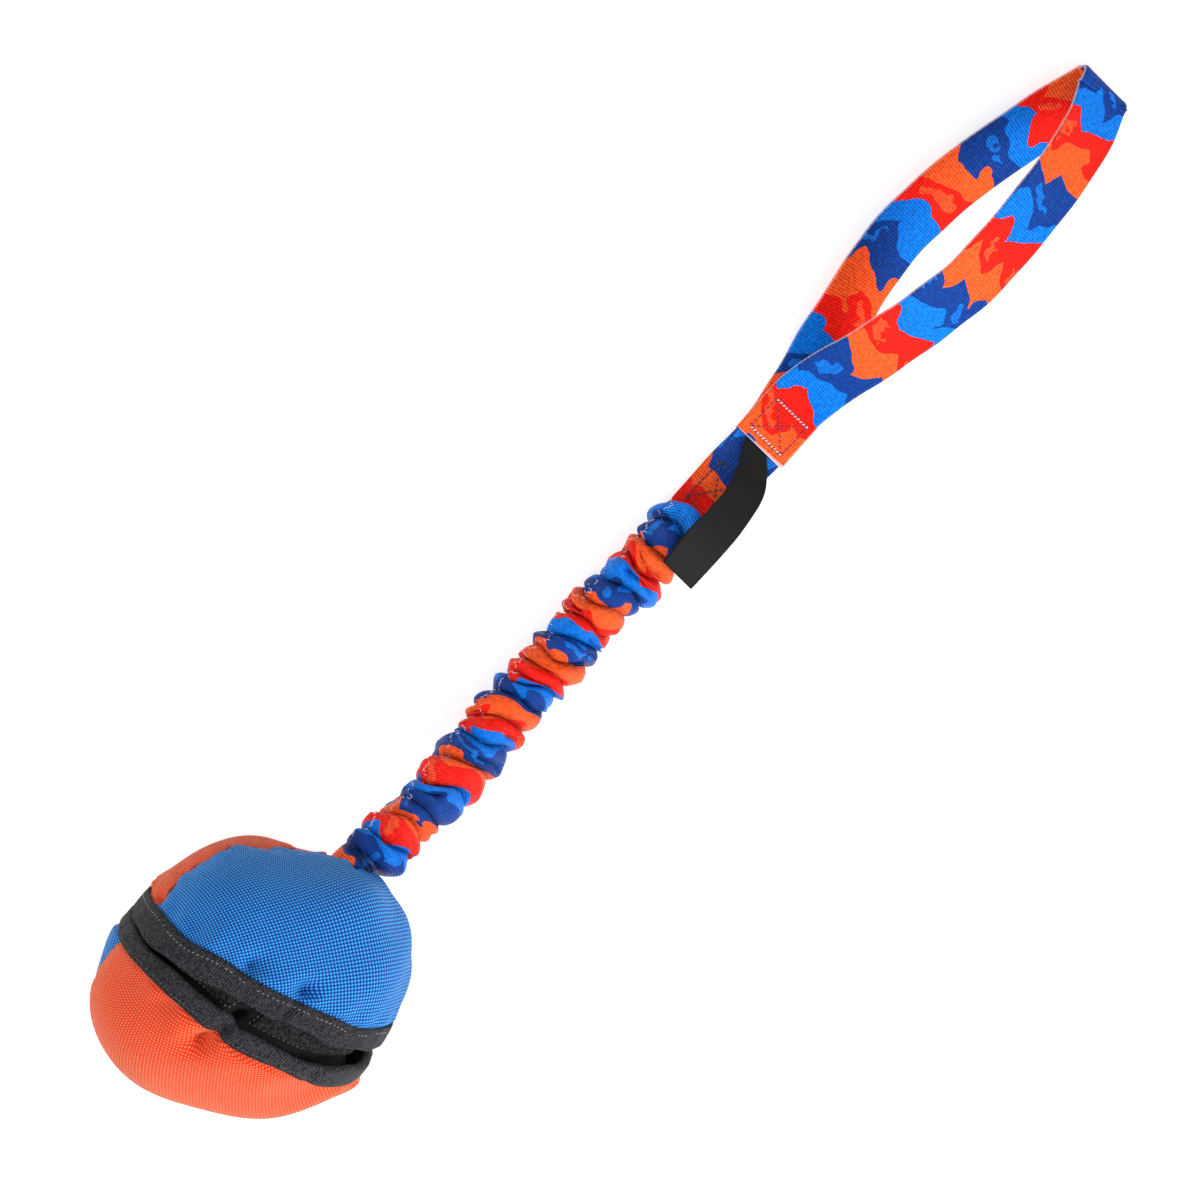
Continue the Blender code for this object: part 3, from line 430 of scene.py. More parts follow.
def ball_direction(half, from_lip, longitude):
    """Unit direction at a distance from the lip and a turn round the mouth, whose lips stand apart."""
    turn = turn_between(longitude, 0.0)
    lip = np.interp(turn, lip_curve[:, 0], lip_curve[:, 1 if half == "near" else 2]) / plan_radius
    latitude = lip + from_lip / plan_radius * (1.0 - lip / (0.5 * math.pi))
    on_plane = np.cos(longitude)[..., None] * mouth_up + np.sin(longitude)[..., None] * mouth_left
    return unit(np.cos(latitude)[..., None] * on_plane + np.sin(latitude)[..., None] * poles[half])


def pole_distance(radius):
    """Distance from the lip to a ring of this radius round the pole."""
    return plan_radius * (math.pi / 2.0) - radius


def ring_radius(from_lip, least):
    """Radius of the ring at a distance from the lip, as a share of the plan radius not under the least."""
    return plan_radius * np.maximum(np.cos(from_lip / plan_radius), least)


def seam_turn(half, which, from_lip):
    """Turn of a seam at a distance from the lip: stuffing pulls it into scallops, measured ones at the left."""
    if half == "near" and which == 1:
        return np.interp(from_lip, *smooth_curve(left_seam, 8).T)
    reach, period, seed = scallops[half]
    reach = reach * smooth_step((from_lip - 8 * mm) / (16 * mm))
    return seams[half][which] + reach * wobble(from_lip, period, seed + which) / ring_radius(from_lip, 0.3)


def from_seam(half, from_lip, longitude):
    """Distance along the cloth to the nearest seam between two panels, and the side it lies on."""
    turns = np.stack([turn_between(longitude, seam_turn(half, which, from_lip)) for which in (0, 1)])
    nearest = np.take_along_axis(turns, np.abs(turns).argmin(0)[None], 0)[0]
    return np.abs(nearest) * ring_radius(from_lip, 0.02), np.sign(nearest)


def ramp(half, from_lip):
    """0 under the binding and 1 where the wall has its full thickness."""
    return smooth_step((from_lip - binding_width[half] - clearance) / wall_ramp)


def relief(half, from_lip, longitude):
    """How far the stuffed wall sinks: lip dents, the panel seams, and puckers that the sewing draws in."""
    sunk = np.zeros(from_lip.shape)
    for turn, distance, width, depth in lip_dents[half]:
        around = plan_radius * turn_between(longitude, turn * deg)
        away = (around ** 2 + (from_lip - distance * mm) ** 2) / (width * mm) ** 2
        sunk = sunk + depth * mm * np.exp(-4.0 * away) * smooth_step((from_lip - 9.0 * mm) / wall_ramp)
    for turn, width, depth, reach in lip_folds[half]:
        around = plan_radius * turn_between(longitude, turn * deg)
        kept = smooth_step((reach * mm - from_lip) / (8 * mm)) * smooth_step((from_lip + 8 * mm) / (6 * mm))
        sunk = sunk + depth * mm * bump(around, width * mm) * kept
    away, side = from_seam(half, from_lip, longitude)
    groove_depth, groove_reach = seam_groove
    sunk = sunk + groove_depth * bump(away, groove_reach) * ramp(half, from_lip)
    seed = 11 if half == "near" else 23
    sewn = wobble(from_lip, 15 * mm, seed) * 0.5 + wobble(from_lip + side * 4 * mm, 11 * mm, seed + 1) * 0.5
    small = 1.2 * sewn * bump(away, 9 * mm) + 0.8 * bump(away, 2.0 * mm)
    small = small + 0.8 * ring_wobble(longitude, (14, 26), seed + 2) * bump(from_lip - 13 * mm, 7 * mm)
    small = small + 0.9 * ring_wobble(longitude, (3, 7), seed + 3) * wobble(from_lip, 55 * mm, seed + 4)
    if half == "near":
        gather = bump(from_lip - pole_distance(10 * mm), 9 * mm)
        small = small + 0.9 * ring_wobble(longitude, (9, 15), seed + 5) * gather
    return sunk + small * mm * ramp(half, from_lip)


def ball_point(half, from_lip, longitude, depth):
    """Place at a depth under the stuffed outline, sunk by the relief."""
    from_lip, longitude, depth = np.broadcast_arrays(from_lip, longitude, depth)
    direction = ball_direction(half, from_lip, longitude)
    radius = outline_radius(direction) - depth - relief(half, from_lip, longitude)
    return ball_centre + radius[..., None] * direction


top = ball_point("near", np.array([20 * mm]), np.array([0.0]), 0.0)[0]
print("20 mm from the near lip, at its top:", np.round(top * 1000, 1), "mm")

# %% [markdown]
# ## Woven cloth
# Both cups are cut from heavy plain-woven cloth. The weave is worked out: two trains of round threads cross
# on the flat cloth, and at each crossing one of them lies on top. The same height gives the bump and paints
# light into the colour: painted shade in the gaps and on the sunk threads, and a painted highlight on the
# floats, so the cloth looks woven from near and even from far.

# %% Helpers for worked-out materials
def new_material(name):
    material = bpy.data.materials.new(name)
    material.use_nodes = True
    material.node_tree.nodes.clear()
    return material, material.node_tree


def finish_material(material, colour, roughness, height, distance, gloss=0.5, sheen=None):
    """Principled shader with a bump whose height of 0 to 1 stands for a real distance."""
    tree = material.node_tree
    bumped = node(tree, "ShaderNodeBump", {"Strength": 1.0, "Distance": distance, "Height": height})
    inputs = {"Base Color": colour, "Roughness": roughness, "Specular IOR Level": gloss, "Normal": bumped.outputs[0]}
    if sheen:
        inputs.update({"Sheen Weight": 0.22, "Sheen Roughness": 0.45, "Sheen Tint": (*sheen, 1.0)})
    shader = node(tree, "ShaderNodeBsdfPrincipled", inputs)
    node(tree, "ShaderNodeOutputMaterial", {0: shader.outputs[0]})
    return material


def on_object(tree):
    return node(tree, "ShaderNodeTexCoord").outputs["Object"]


def on_cloth(tree):
    return node(tree, "ShaderNodeUVMap", uv_map="cloth").outputs[0]


def split(tree, place):
    parts = node(tree, "ShaderNodeSeparateXYZ", {0: place}).outputs
    return Value(tree, parts[0]), Value(tree, parts[1])


def noise(tree, place, scale, detail=0.0):
    made = node(tree, "ShaderNodeTexNoise", {"Vector": place, "Scale": scale, "Detail": detail})
    return Value(tree, made.outputs[0])


def cells(tree, place, scale):
    """Distance to the nearest of many scattered points."""
    made = node(tree, "ShaderNodeTexVoronoi", {"Vector": place, "Scale": scale})
    return Value(tree, made.outputs["Distance"])


def thread_counts(tree, pitch_x, pitch_y, stray=0.0):
    """Place on the flat cloth, counted in pitches, with a slight stray so that no thread is ruled."""
    place = on_cloth(tree)
    if stray:
        drift = node(tree, "ShaderNodeTexNoise", {"Vector": place, "Scale": 90.0, "Detail": 1.0}).outputs["Color"]
        drift = node(tree, "ShaderNodeVectorMath", {0: drift, 1: (0.5, 0.5, 0.5)}, operation="SUBTRACT")
        drift = node(tree, "ShaderNodeVectorMath", {0: drift.outputs[0], "Scale": stray}, operation="SCALE")
        place = node(tree, "ShaderNodeVectorMath", {0: place, 1: drift.outputs[0]}, operation="ADD").outputs[0]
    x, y = split(tree, place)
    return x * (1.0 / pitch_x), y * (1.0 / pitch_y)


def weave(u, v, fullness=0.6):
    """Plain weave: each thread is a half round, and crossings alternate which one is on top.

    Returns the height from 0 to 1 and a switch that is 1 where the lengthwise thread lies on top.
    """
    across, along = u.wave(), v.wave()
    on_top = (across * along).step("GREATER_THAN", 0.0)
    round_u, round_v = abs(across) ** fullness, abs(along) ** fullness
    warp = round_u * (round_v * 0.45 + 0.55)
    weft = round_v * (round_u * 0.35 + 0.45)
    mixed = node(u.tree, "ShaderNodeMix", {0: on_top, 2: weft, 3: warp}, data_type="FLOAT")
    return Value(u.tree, mixed.outputs[0]), on_top


def mix_colour(share, low, high):
    """Colour between low and high by share; either may be a socket or red, green and blue."""
    low, high = (end if isinstance(end, bpy.types.NodeSocket) else (*end, 1.0) for end in (low, high))
    return node(share.tree, "ShaderNodeMix", {0: share, 6: low, 7: high}, data_type="RGBA").outputs[2]


def woven_cloth(name, gap, weft, warp, sheen, pitch=1.02 * mm, roughness=0.55, relief_height=0.4 * mm):
    """Cloth of one dye under painted light: painted shade in the gaps and on the sunk weft, a painted highlight on
    the warp that floats on top, and a faint bloom.
    """
    material, tree = new_material(name)
    height, on_top = weave(*thread_counts(tree, pitch, pitch, 0.22 * mm))
    # Painted light: the colour runs from the painted-shade gap colour up to the weft or the warp with the thread
    # height.
    colour = mix_colour(height ** 0.8, gap, mix_colour(on_top, weft, warp))
    worn = noise(tree, on_object(tree), 38.0, 3.0).spread(0.3, 0.7, 0.0, 0.10)
    rough = height.spread(0.0, 1.0, min(roughness + 0.2, 1.0), roughness - 0.1)
    return finish_material(material, mix_colour(worn, colour, gap), rough, height, relief_height, 0.10, sheen)


# Three colours of one dye each: gap and weft in painted shade, warp with a painted highlight.
blue_cloth = woven_cloth("blue_woven_cloth", (0.0, 0.014, 0.12), (0.001, 0.046, 0.32), (0.045, 0.40, 1.0),
                         (0.35, 0.75, 1.0))
orange_cloth = woven_cloth("orange_woven_cloth", (0.55, 0.008, 0.003), (0.80, 0.028, 0.007),
                           (0.82, 0.175, 0.060), (0.7, 0.85, 0.45))
print("weave materials:", blue_cloth.name, orange_cloth.name)

# %% [markdown]
# ## The four panels
# Each cup is two cloth panels, blue and orange, that meet in two seams and turn in under the mouth binding.
# At the neck the blue and orange cloth turns in round the bungee's sewn end. One grid per panel would give a
# hard cut at a seam, so both panels sink along the same seam line and pucker together, as sewn cloth does.
# The flat-cloth map spreads each panel out from its middle, so threads run straight across a panel.

# %% Panels of the cups
fabric_thickness = 0.9 * mm
fabric_under_binding = 1.1 * mm
seam_gap = 0.08 * mm
neck_hem_radius = 9.4 * mm
neck_hole_radius = 10.5 * mm
neck_turn_in = 3.2 * mm
panel_pitch = 0.9 * mm
far_pole_radius = 0.4 * mm
grain_turn = {"near": 30.0 * deg, "far": 24.0 * deg}
# Turn and width in degrees, and depth in millimetres.
tape_buckles = {"near": ((-18.8, 1.5, 0.9), (-15.5, 1.6, -0.5), (6.5, 2.4, 0.6), (30.0, 3.0, 0.5), (-47.0, 2.6, 0.5)),
                "far": ((-8.2, 1.3, 1.0), (-3.5, 2.2, -0.9), (-31.0, 2.2, 0.6), (-47.0, 2.5, 0.8), (22.0, 3.0, 0.6))}


def bells(start, longitude, table):
    """Sum of bells round the mouth, from a table of turns, widths and heights."""
    for turn, width, height in table:
        start = start + height * mm * bump(turn_between(longitude, turn * deg), width * deg)
    return start


def tape_sink(half, longitude):
    """How far the tape sinks or rises at its buckles, besides a small unevenness."""
    uneven = 0.14 * mm * ring_wobble(longitude, (20, 34), 41 if half == "near" else 43)
    return bells(uneven, longitude, tape_buckles[half])


def spread_flat(points, middle, turn):
    """Flat place of points round a panel's middle: the angle from the middle, kept, times the ball's radius."""
    direction = unit(points - ball_centre)
    first = unit(np.cross(middle, mouth_normal))
    x, y = direction @ first, direction @ np.cross(middle, first)
    angle = np.arccos(np.clip(direction @ middle, -1, 1))
    scale = plan_radius * angle / np.maximum(np.hypot(x, y), 1e-9)
    x, y = x * scale, y * scale
    return np.stack([x * math.cos(turn) - y * math.sin(turn), x * math.sin(turn) + y * math.cos(turn)], -1)


def cup_panel(name, half, first, material):
    """Cloth from under the binding to the pole, between the first seam and the other, half a gap from each."""
    last = pole_distance(neck_hem_radius if half == "near" else far_pole_radius)
    rows = np.linspace(binding_nose, last, int(round((last - binding_nose) / panel_pitch)))
    start = seam_turn(half, first, rows)[:, None]
    end = seam_turn(half, 1 - first, rows)[:, None] + full_turn * first
    width = float(np.mean(end - start))
    share = np.linspace(0.0, 1.0, int(round(width * plan_radius / panel_pitch)))
    half_gap = 0.5 * seam_gap / (plan_radius * np.cos(rows / plan_radius) + 0.1 * mm)[:, None]
    longitude = start + half_gap + (end - start - 2.0 * half_gap) * share
    from_lip = np.broadcast_to(rows[:, None], longitude.shape)
    depth = (fabric_under_binding + tape_sink(half, longitude).clip(0.0)) * (1.0 - ramp(half, from_lip))
    if half == "near":
        inside = from_lip - pole_distance(neck_hole_radius + 0.8 * mm)
        depth = depth + neck_turn_in * smooth_step(inside / (1.9 * mm))
    front = ball_point(half, from_lip, longitude, depth)
    back = ball_point(half, from_lip, longitude, depth + fabric_thickness)
    middle = unit(ball_direction(half, np.array(0.45 * last), np.array(seams[half][first] + 0.5 * width)))
    return thick_sheet(name, front, back, spread_flat(front, middle, grain_turn[half]), material)


for half, cloths in (("near", (blue_cloth, orange_cloth)), ("far", (orange_cloth, blue_cloth))):
    for first, side, cloth in zip((0, 1), ("front", "back"), cloths):
        panel = cup_panel(f"{half}_{side}_panel", half, first, cloth)
        dress(panel, f"{half}_{side}_gore", "blue_fabric" if cloth == blue_cloth else "orange_fabric", half + "_half")
        print(panel.name, len(panel.data.polygons), "faces")

# %% [markdown]
# ## Foam and lining
# Between the cloth and the black lining lies thin foam, which keeps each cup round. Both are smooth layers
# that follow the same relief at their own depths, and the lining shows when the mouth opens.

# %% Foam and lining of the cups
foam_top = fabric_thickness + clearance
foam_thickness = 4.0 * mm
lining_thickness = 0.6 * mm
lining_top = foam_top + foam_thickness + clearance
lining_under_binding = fabric_under_binding + fabric_thickness + clearance
wall_full_distance = {half: width + clearance + wall_ramp for half, width in binding_width.items()}
neck_foam_radius = 15.0 * mm
neck_pocket_radius = 27.0 * mm
neck_pocket_depth = 8.0 * mm
far_pole_opening = 1.6 * mm
lining_tip_radius = 0.5 * mm
inner_pitch = 2.0 * mm


def foam_material():
    material, tree = new_material("grey_foam")
    pores = cells(tree, on_object(tree), 1400.0)
    colour = mix_colour(pores, (0.38, 0.38, 0.36), (0.62, 0.62, 0.58))
    return finish_material(material, colour, 0.95, pores, 0.2 * mm)


grey_foam = foam_material()
black_lining = woven_cloth("black_lining", (0.002, 0.002, 0.003), (0.007, 0.007, 0.009), (0.020, 0.020, 0.024),
                           (0.1, 0.1, 0.1), 0.5 * mm, 0.7, 0.1 * mm)


def round_columns(pitch):
    """Turns round the mouth, one at each pitch of cloth, without the last, which is the first again."""
    count = int(round(full_turn * plan_radius / pitch))
    return full_turn * np.arange(count) / count


def around_mouth(count):
    """Flat-cloth lengths round the mouth for a wrapped grid of this many columns."""
    return np.linspace(0.0, full_turn * plan_radius, count + 1)


def cup_layers(half, rows, columns, depth, thickness):
    """Outer and inner grid of a layer at a depth."""
    return [ball_point(half, rows[:, None], columns[None, :], level) for level in (depth, depth + thickness)]


def cup_foam(half, columns):
    last = pole_distance(neck_foam_radius if half == "near" else far_pole_opening)
    start = wall_full_distance[half] + clearance
    rows = np.linspace(start, last, int((last - start) / inner_pitch))
    outer, inner = cup_layers(half, rows, columns, foam_top, foam_thickness)
    rings = np.concatenate([outer, inner[::-1]]).transpose(1, 0, 2)
    return closed_ring(half + "_foam", rings, np.zeros((rings.shape[0] + 1, rings.shape[1] + 1, 2)), grey_foam)


def cup_lining(half, columns):
    """A thick sheet, wrapped round, with a rim at the lip and a fan at the pole on both faces."""
    rows = np.linspace(binding_nose, pole_distance(lining_tip_radius), int(pole_distance(0.0) / inner_pitch))
    depth = lining_under_binding + (lining_top - lining_under_binding) * ramp(half, rows)
    if half == "near":
        inside = rows - pole_distance(neck_pocket_radius)
        depth = depth + neck_pocket_depth * smooth_step(inside / (neck_pocket_radius - neck_foam_radius))
    layers = cup_layers(half, rows, columns, depth[:, None], lining_thickness)
    middles = [layer[-1].mean(0)[None] for layer in layers]
    points = np.concatenate([layer.reshape(-1, 3) for layer in layers] + middles)
    count = len(columns)
    size = len(rows) * count
    lip = np.arange(count)
    beside = np.roll(lip, -1)
    tip, end = 2 * size, size - count + lip
    quads = grid_quads(len(rows), count, True)
    places = corner_places(pairs(around_mouth(count)[None, :], rows[:, None]))
    none = np.zeros((count, 3, 2))
    groups = [(quads, places), (quads[:, ::-1] + size, places[:, ::-1]),
              (np.stack([beside, lip, lip + size, beside + size], 1), np.zeros((count, 4, 2))),
              (fan(end, tip)[:, (1, 0, 2)], none), (fan(end + size, tip + 1), none)]
    return make_piece(half + "_cup_lining", points, groups, black_lining)


for half in ("near", "far"):
    foam, lining = (layer(half, round_columns(inner_pitch)) for layer in (cup_foam, cup_lining))
    dress(foam, half + "_padding", "foam", half + "_half")
    dress(lining, half + "_lining", "black_lining", half + "_half")
    print(foam.name, lining.name, "done")

# %% [markdown]
# ## Mouth bindings
# A black tape is folded over each lip and sewn through. It is a band with a U section carried round the
# mouth: outer leg, round nose, inner leg. Real tape wanders, so its edge and nose wave a little, and where
# the mouth is pinched the tape buckles. Its ribs come from a sine of the flat-cloth length, broken into
# thread floats by another across it.

# %% Mouth bindings
binding_thickness = 0.8 * mm
inner_binding_top = lining_under_binding + lining_thickness + clearance
inner_binding_bottom = inner_binding_top + binding_thickness
binding_pitch = 0.6 * mm
# Turn and width in degrees, and slide in millimetres.
nose_slides = {"near": ((-24.0, 5.0, 0.9), (-15.0, 4.0, -0.5), (2.0, 9.0, 0.7), (42.0, 26.0, -1.7)),
               "far": ((-1.5, 3.2, -2.0), (6.0, 6.0, -1.2), (-10.5, 3.5, 1.5), (-40.0, 9.0, 0.8), (-62.0, 8.0, -0.8))}


def ribbed_tape(name, dark, light, pitch):
    """Ribs across the tape, each a row of small thread floats, in one dye, with painted shade in the hollows and
    painted glints on the crests.
    """
    material, tree = new_material(name)
    u, v = thread_counts(tree, pitch, 0.55 * pitch, 0.12 * mm)
    height = abs(u.wave()) ** 0.8 * (abs(v.wave()) * 0.45 + 0.55)
    glint = noise(tree, on_object(tree), 1100.0, 1.0).spread(0.36, 0.66, 0.20, 1.5)
    # Painted light: the colour runs from dark in the rib hollows to light on the crests, times a noise of painted
    # glints.
    return finish_material(material, mix_colour(height * glint, dark, light), 0.6, height, 0.4 * mm, 0.08)


black_tape = ribbed_tape("black_ribbed_tape", (0.002, 0.002, 0.003), (0.058, 0.058, 0.066), 1.05 * mm)


def tape_shift(half, longitude):
    """How far the tape's sewn edge wanders along the cloth."""
    return 0.4 * mm * ring_wobble(longitude, (5, 13), 31 if half == "near" else 37)


def nose_shift(half, longitude):
    """How far the folded lip wanders: waves of its own, and slides at the folds."""
    waves = 0.55 * mm * ring_wobble(longitude, (6, 17), 32 if half == "near" else 38)
    return bells(waves, longitude, nose_slides[half])


def tape_section(width):
    """Distance from the lip and depth of each point round the U section."""
    turn = np.linspace(0.0, math.pi, 9)
    middle = 0.5 * inner_binding_bottom
    legs = np.linspace(width, binding_nose, 7)[:-1]
    slim_nose, slim_middle = binding_nose - binding_thickness, middle - binding_thickness
    swell = 0.25 * mm * np.sin(math.pi * np.linspace(0, 1, 7)[:-1])
    from_lip = np.concatenate([legs, binding_nose * (1.0 - np.sin(turn)), legs[::-1],
                               legs, binding_nose - slim_nose * np.sin(turn[::-1]), legs[::-1]])
    depth = np.concatenate([0.1 * mm - swell, middle * (1.0 - np.cos(turn)), np.full(6, inner_binding_bottom),
                            np.full(6, inner_binding_top), middle - slim_middle * np.cos(turn[::-1]),
                            np.full(6, binding_thickness)])
    return from_lip, depth


def mouth_binding(half):
    """U section carried round the mouth, following the wander and the buckles."""
    from_lip, depth = tape_section(binding_width[half])
    columns = round_columns(binding_pitch)
    edge, nose, sink = (f(half, columns)[:, None] for f in (tape_shift, nose_shift, tape_sink))
    outer_share = smooth_step(1.0 - depth / inner_binding_top)
    edge_share = smooth_step(from_lip / binding_width[half])
    at = from_lip[None, :] + nose * (1.0 - edge_share) + edge * edge_share * outer_share
    rings = ball_point(half, at, columns[:, None], depth[None, :] + sink * outer_share)
    length = run_length(np.stack([from_lip, depth], 1))
    flat = pairs(around_mouth(len(columns))[:, None], np.append(length, length[-1])[None, :])
    return closed_ring(half + "_mouth_tape", rings, flat, black_tape)


for half in ("near", "far"):
    tape = mouth_binding(half)
    dress(tape, half + "_lip_binding", "black_binding", half + "_half")
    print(tape.name, len(tape.data.polygons), "faces")

# %% [markdown]
# ## Topstitching
# A machine stitch is a short thread that dives into the cloth at both ends, so a row of stitches is one
# small rounded bead repeated along a line, a little turned from it each time. All beads of a row are made
# in one array operation: each has a place, a direction along the seam and an outward direction.

# %% Rows of stitches
def thread_material(name, dark, light):
    """Twisted thread: fine diagonal ply lines on object places."""
    material, tree = new_material(name)
    waves = node(tree, "ShaderNodeTexWave", {"Vector": on_object(tree), "Scale": 900.0, "Distortion": 1.5},
                 bands_direction="DIAGONAL")
    ply = Value(tree, waves.outputs["Fac"])
    return finish_material(material, mix_colour(ply, dark, light), 0.6, ply, 0.05 * mm)


def stitch_row(name, centres, along, outward, length, radius, material, slant=0.12):
    """One bead per centre: a capsule of five rings of six points, sunk at both ends, turned by the slant."""
    along, outward = unit(along), unit(outward)
    along = unit(along + slant * unit(np.cross(outward, along)))
    side = unit(np.cross(outward, along))
    travel = length * np.linspace(-0.5, 0.5, 5)
    girth = radius * np.array([0.45, 0.9, 1.0, 0.9, 0.45])
    rise = radius * np.array([-0.9, 0.1, 0.45, 0.1, -0.9])
    angle = np.arange(6) * full_turn / 6
    centres, along, outward, side = (each[:, None, None] for each in (centres, along, outward, side))
    travel, girth, rise = (each[None, :, None, None] for each in (travel, girth, rise))
    cosine, sine = (each[None, None, :, None] for each in (np.cos(angle), np.sin(angle)))
    rings = centres + along * travel + outward * rise + girth * (side * cosine + outward * sine)
    ends = np.stack([rings[:, 0].mean(1), rings[:, -1].mean(1)], 1)
    points = np.concatenate([rings.reshape(len(rings), -1, 3), ends], 1)
    first = (np.arange(len(rings)) * points.shape[1])[:, None, None]
    groups = []
    for faces, _ in tube_groups(5, 6, np.zeros((5, 7, 2))):
        every = (faces[None] + first).reshape(-1, faces.shape[1])
        groups.append((every, np.zeros((*every.shape, 2))))
    return make_piece(name, points, groups, material)


def even_places(points, pitch, closed=False):
    """Places and directions every pitch along a line of points."""
    points = np.vstack([points, points[:1]]) if closed else np.asarray(points)
    length = run_length(points)
    spots = np.arange(0.5 * pitch, length[-1], length[-1] / round(length[-1] / pitch))
    at, ahead, behind = (np.stack([np.interp(spots + step * pitch, length, points[:, k]) for k in range(3)], 1)
                         for step in (0.0, 0.1, -0.1))
    return at, unit(ahead - behind)


grey_thread = thread_material("grey_thread", (0.10, 0.105, 0.095), (0.32, 0.33, 0.30))
dull_thread = thread_material("dull_thread", (0.030, 0.032, 0.030), (0.10, 0.105, 0.10))
lip_stitch_span = 136.0 * deg
lip_stitch_pitch, lip_stitch_length, lip_stitch_radius = 2.2 * mm, 1.35 * mm, 0.20 * mm
for half, inset, lip_thread in (("near", 3.0 * mm, grey_thread), ("far", 1.9 * mm, dull_thread)):
    turns = np.linspace(-lip_stitch_span, lip_stitch_span, 900)
    line = binding_width[half] - inset + 1.6 * tape_shift(half, turns)
    at, along = even_places(ball_point(half, line, turns, tape_sink(half, turns) - 0.10 * mm), lip_stitch_pitch)
    shown = np.random.default_rng(47).uniform(size=len(at)) < 0.85
    row = stitch_row(half + "_lip_stitches", at[shown], along[shown], at[shown] - ball_centre, lip_stitch_length,
                     lip_stitch_radius, lip_thread)
    dress(row, half + "_binding_thread", "grey_thread", half + "_half")
    print(row.name, len(at), "stitches")

# %% [markdown]
# ## Closure flap, hook and pile
# A black tongue reaches from the far cup across the mouth and under the near lip, with two patches of loop
# pile that grip hooks inside the near cup. Pile and hooks are fine grids that are pushed up and down by
# noise, and the material adds the fuzz.

# %% Flap, pile and hooks
strip_thickness = 1.2 * mm
flap_reach = 22.0 * mm
flap_root = 22.0 * mm
flap_bend = 10.0 * mm
flap_span = (-88.0 * deg, 60.0 * deg)
flap_thickness = 1.0 * mm
flap_bulge = 2.6 * mm
hook_top = lining_top + lining_thickness + clearance
hook_rows = (12.0 * mm, 26.0 * mm)
pile_top = hook_top + strip_thickness + 2.6 * mm
pile_length = 18.0 * mm
pile_start = 2.0 * mm - flap_reach
pile_rows = (pile_start, pile_start + pile_length)
flap_top = pile_top + strip_thickness + clearance
strip_spans = {"left": (0.0, 48.0 * deg), "right": (-76.0 * deg, -15.0 * deg)}
border_margin = 1.0 * mm


def fuzz(name, dark, light, scale, distance):
    """Matt fuzz: fine noise mixed with cells, for pile and hooks."""
    material, tree = new_material(name)
    place = on_object(tree)
    height = noise(tree, place, 1.7 * scale, 4.0) * cells(tree, place, scale)
    return finish_material(material, mix_colour(height.spread(0.1, 0.5), dark, light), 0.95, height, distance, 0.2)


black_pile = fuzz("black_loop_pile", (0.001, 0.001, 0.001), (0.036, 0.037, 0.038), 700.0, 0.9 * mm)


def bulge(rows):
    """How far the flap bows outwards in the open mouth."""
    return flap_bulge * bump(rows + 6.0 * mm, 7.0 * mm)


def wall_sheet(name, half, rows, turns, top, thickness, material, roughen=0.0, seed=0):
    """Sheet that follows the wall at a depth; its outer face may be roughened by noise."""
    from_lip, turn = np.broadcast_arrays(rows[:, None], turns[None, :])
    depth = np.broadcast_to(top, from_lip.shape)
    rough = roughen * np.random.default_rng(seed).uniform(-1.0, 1.0, from_lip.shape)
    outer = ball_point(half, from_lip, turn, depth + rough)
    inner = ball_point(half, from_lip, turn, depth + thickness)
    return thick_sheet(name, outer, inner, np.stack([turn * plan_radius, from_lip], -1), material)


def strip_turns(span, pitch):
    return np.linspace(*span, int((span[1] - span[0]) * plan_radius / pitch))


rows, turns = np.linspace(-flap_reach, flap_root, 45), np.linspace(*flap_span, 150)
drop = smooth_step((wall_full_distance["far"] - rows) / flap_bend)
ripple = 0.35 * mm * np.abs(wobble(turns * plan_radius, 26 * mm, 51)) + 1.6 * mm * bump(turns + 8 * deg, 2.2 * deg)
ripple = ripple[None, :] * smooth_step((6 * mm - rows) / (10 * mm))[:, None]
top = (hook_top + (flap_top - hook_top) * drop - bulge(rows))[:, None] + ripple
flap = wall_sheet("mouth_flap", "far", rows, turns, top, flap_thickness, black_lining)
dress(flap, "closure_flap", "black_lining", "far_half")

for side, span in strip_spans.items():
    rows = np.linspace(*pile_rows, 40)
    pile = wall_sheet("pile_patch_" + side, "far", rows, strip_turns(span, 0.45 * mm),
                      (pile_top - 0.2 * mm - bulge(rows))[:, None], strip_thickness, black_pile, 0.32 * mm, 61)
    dress(pile, "pile_strip_" + side, "hook_and_pile", "far_half")

    low, high = pile_rows[0] - border_margin, pile_rows[1] + border_margin
    right, left = span[0] - border_margin / plan_radius, span[1] + border_margin / plan_radius
    corners = np.array([(low, right), (low, left), (high, left), (high, right)])
    path = np.concatenate([np.linspace(a, b, 60)[:-1] for a, b in zip(corners, np.roll(corners, -1, 0))])
    line = ball_point("far", path[:, 0], path[:, 1], flap_top - 0.12 * mm - bulge(path[:, 0]))
    at, along = even_places(line, 2.3 * mm, True)
    border = stitch_row("pile_border_" + side, at, along, at - ball_centre, 1.5 * mm, 0.22 * mm, grey_thread)
    dress(border, "pile_stitching_" + side, "grey_thread", "far_half")

    hooks = wall_sheet("hook_patch_" + side, "near", np.linspace(*hook_rows, 30), strip_turns(span, 0.6 * mm),
                       hook_top + 0.3 * mm, 0.9 * mm, black_pile, 0.25 * mm, 67)
    dress(hooks, "hook_strip_" + side, "hook_and_pile", "near_half")
    print(pile.name, border.name, hooks.name, "done")
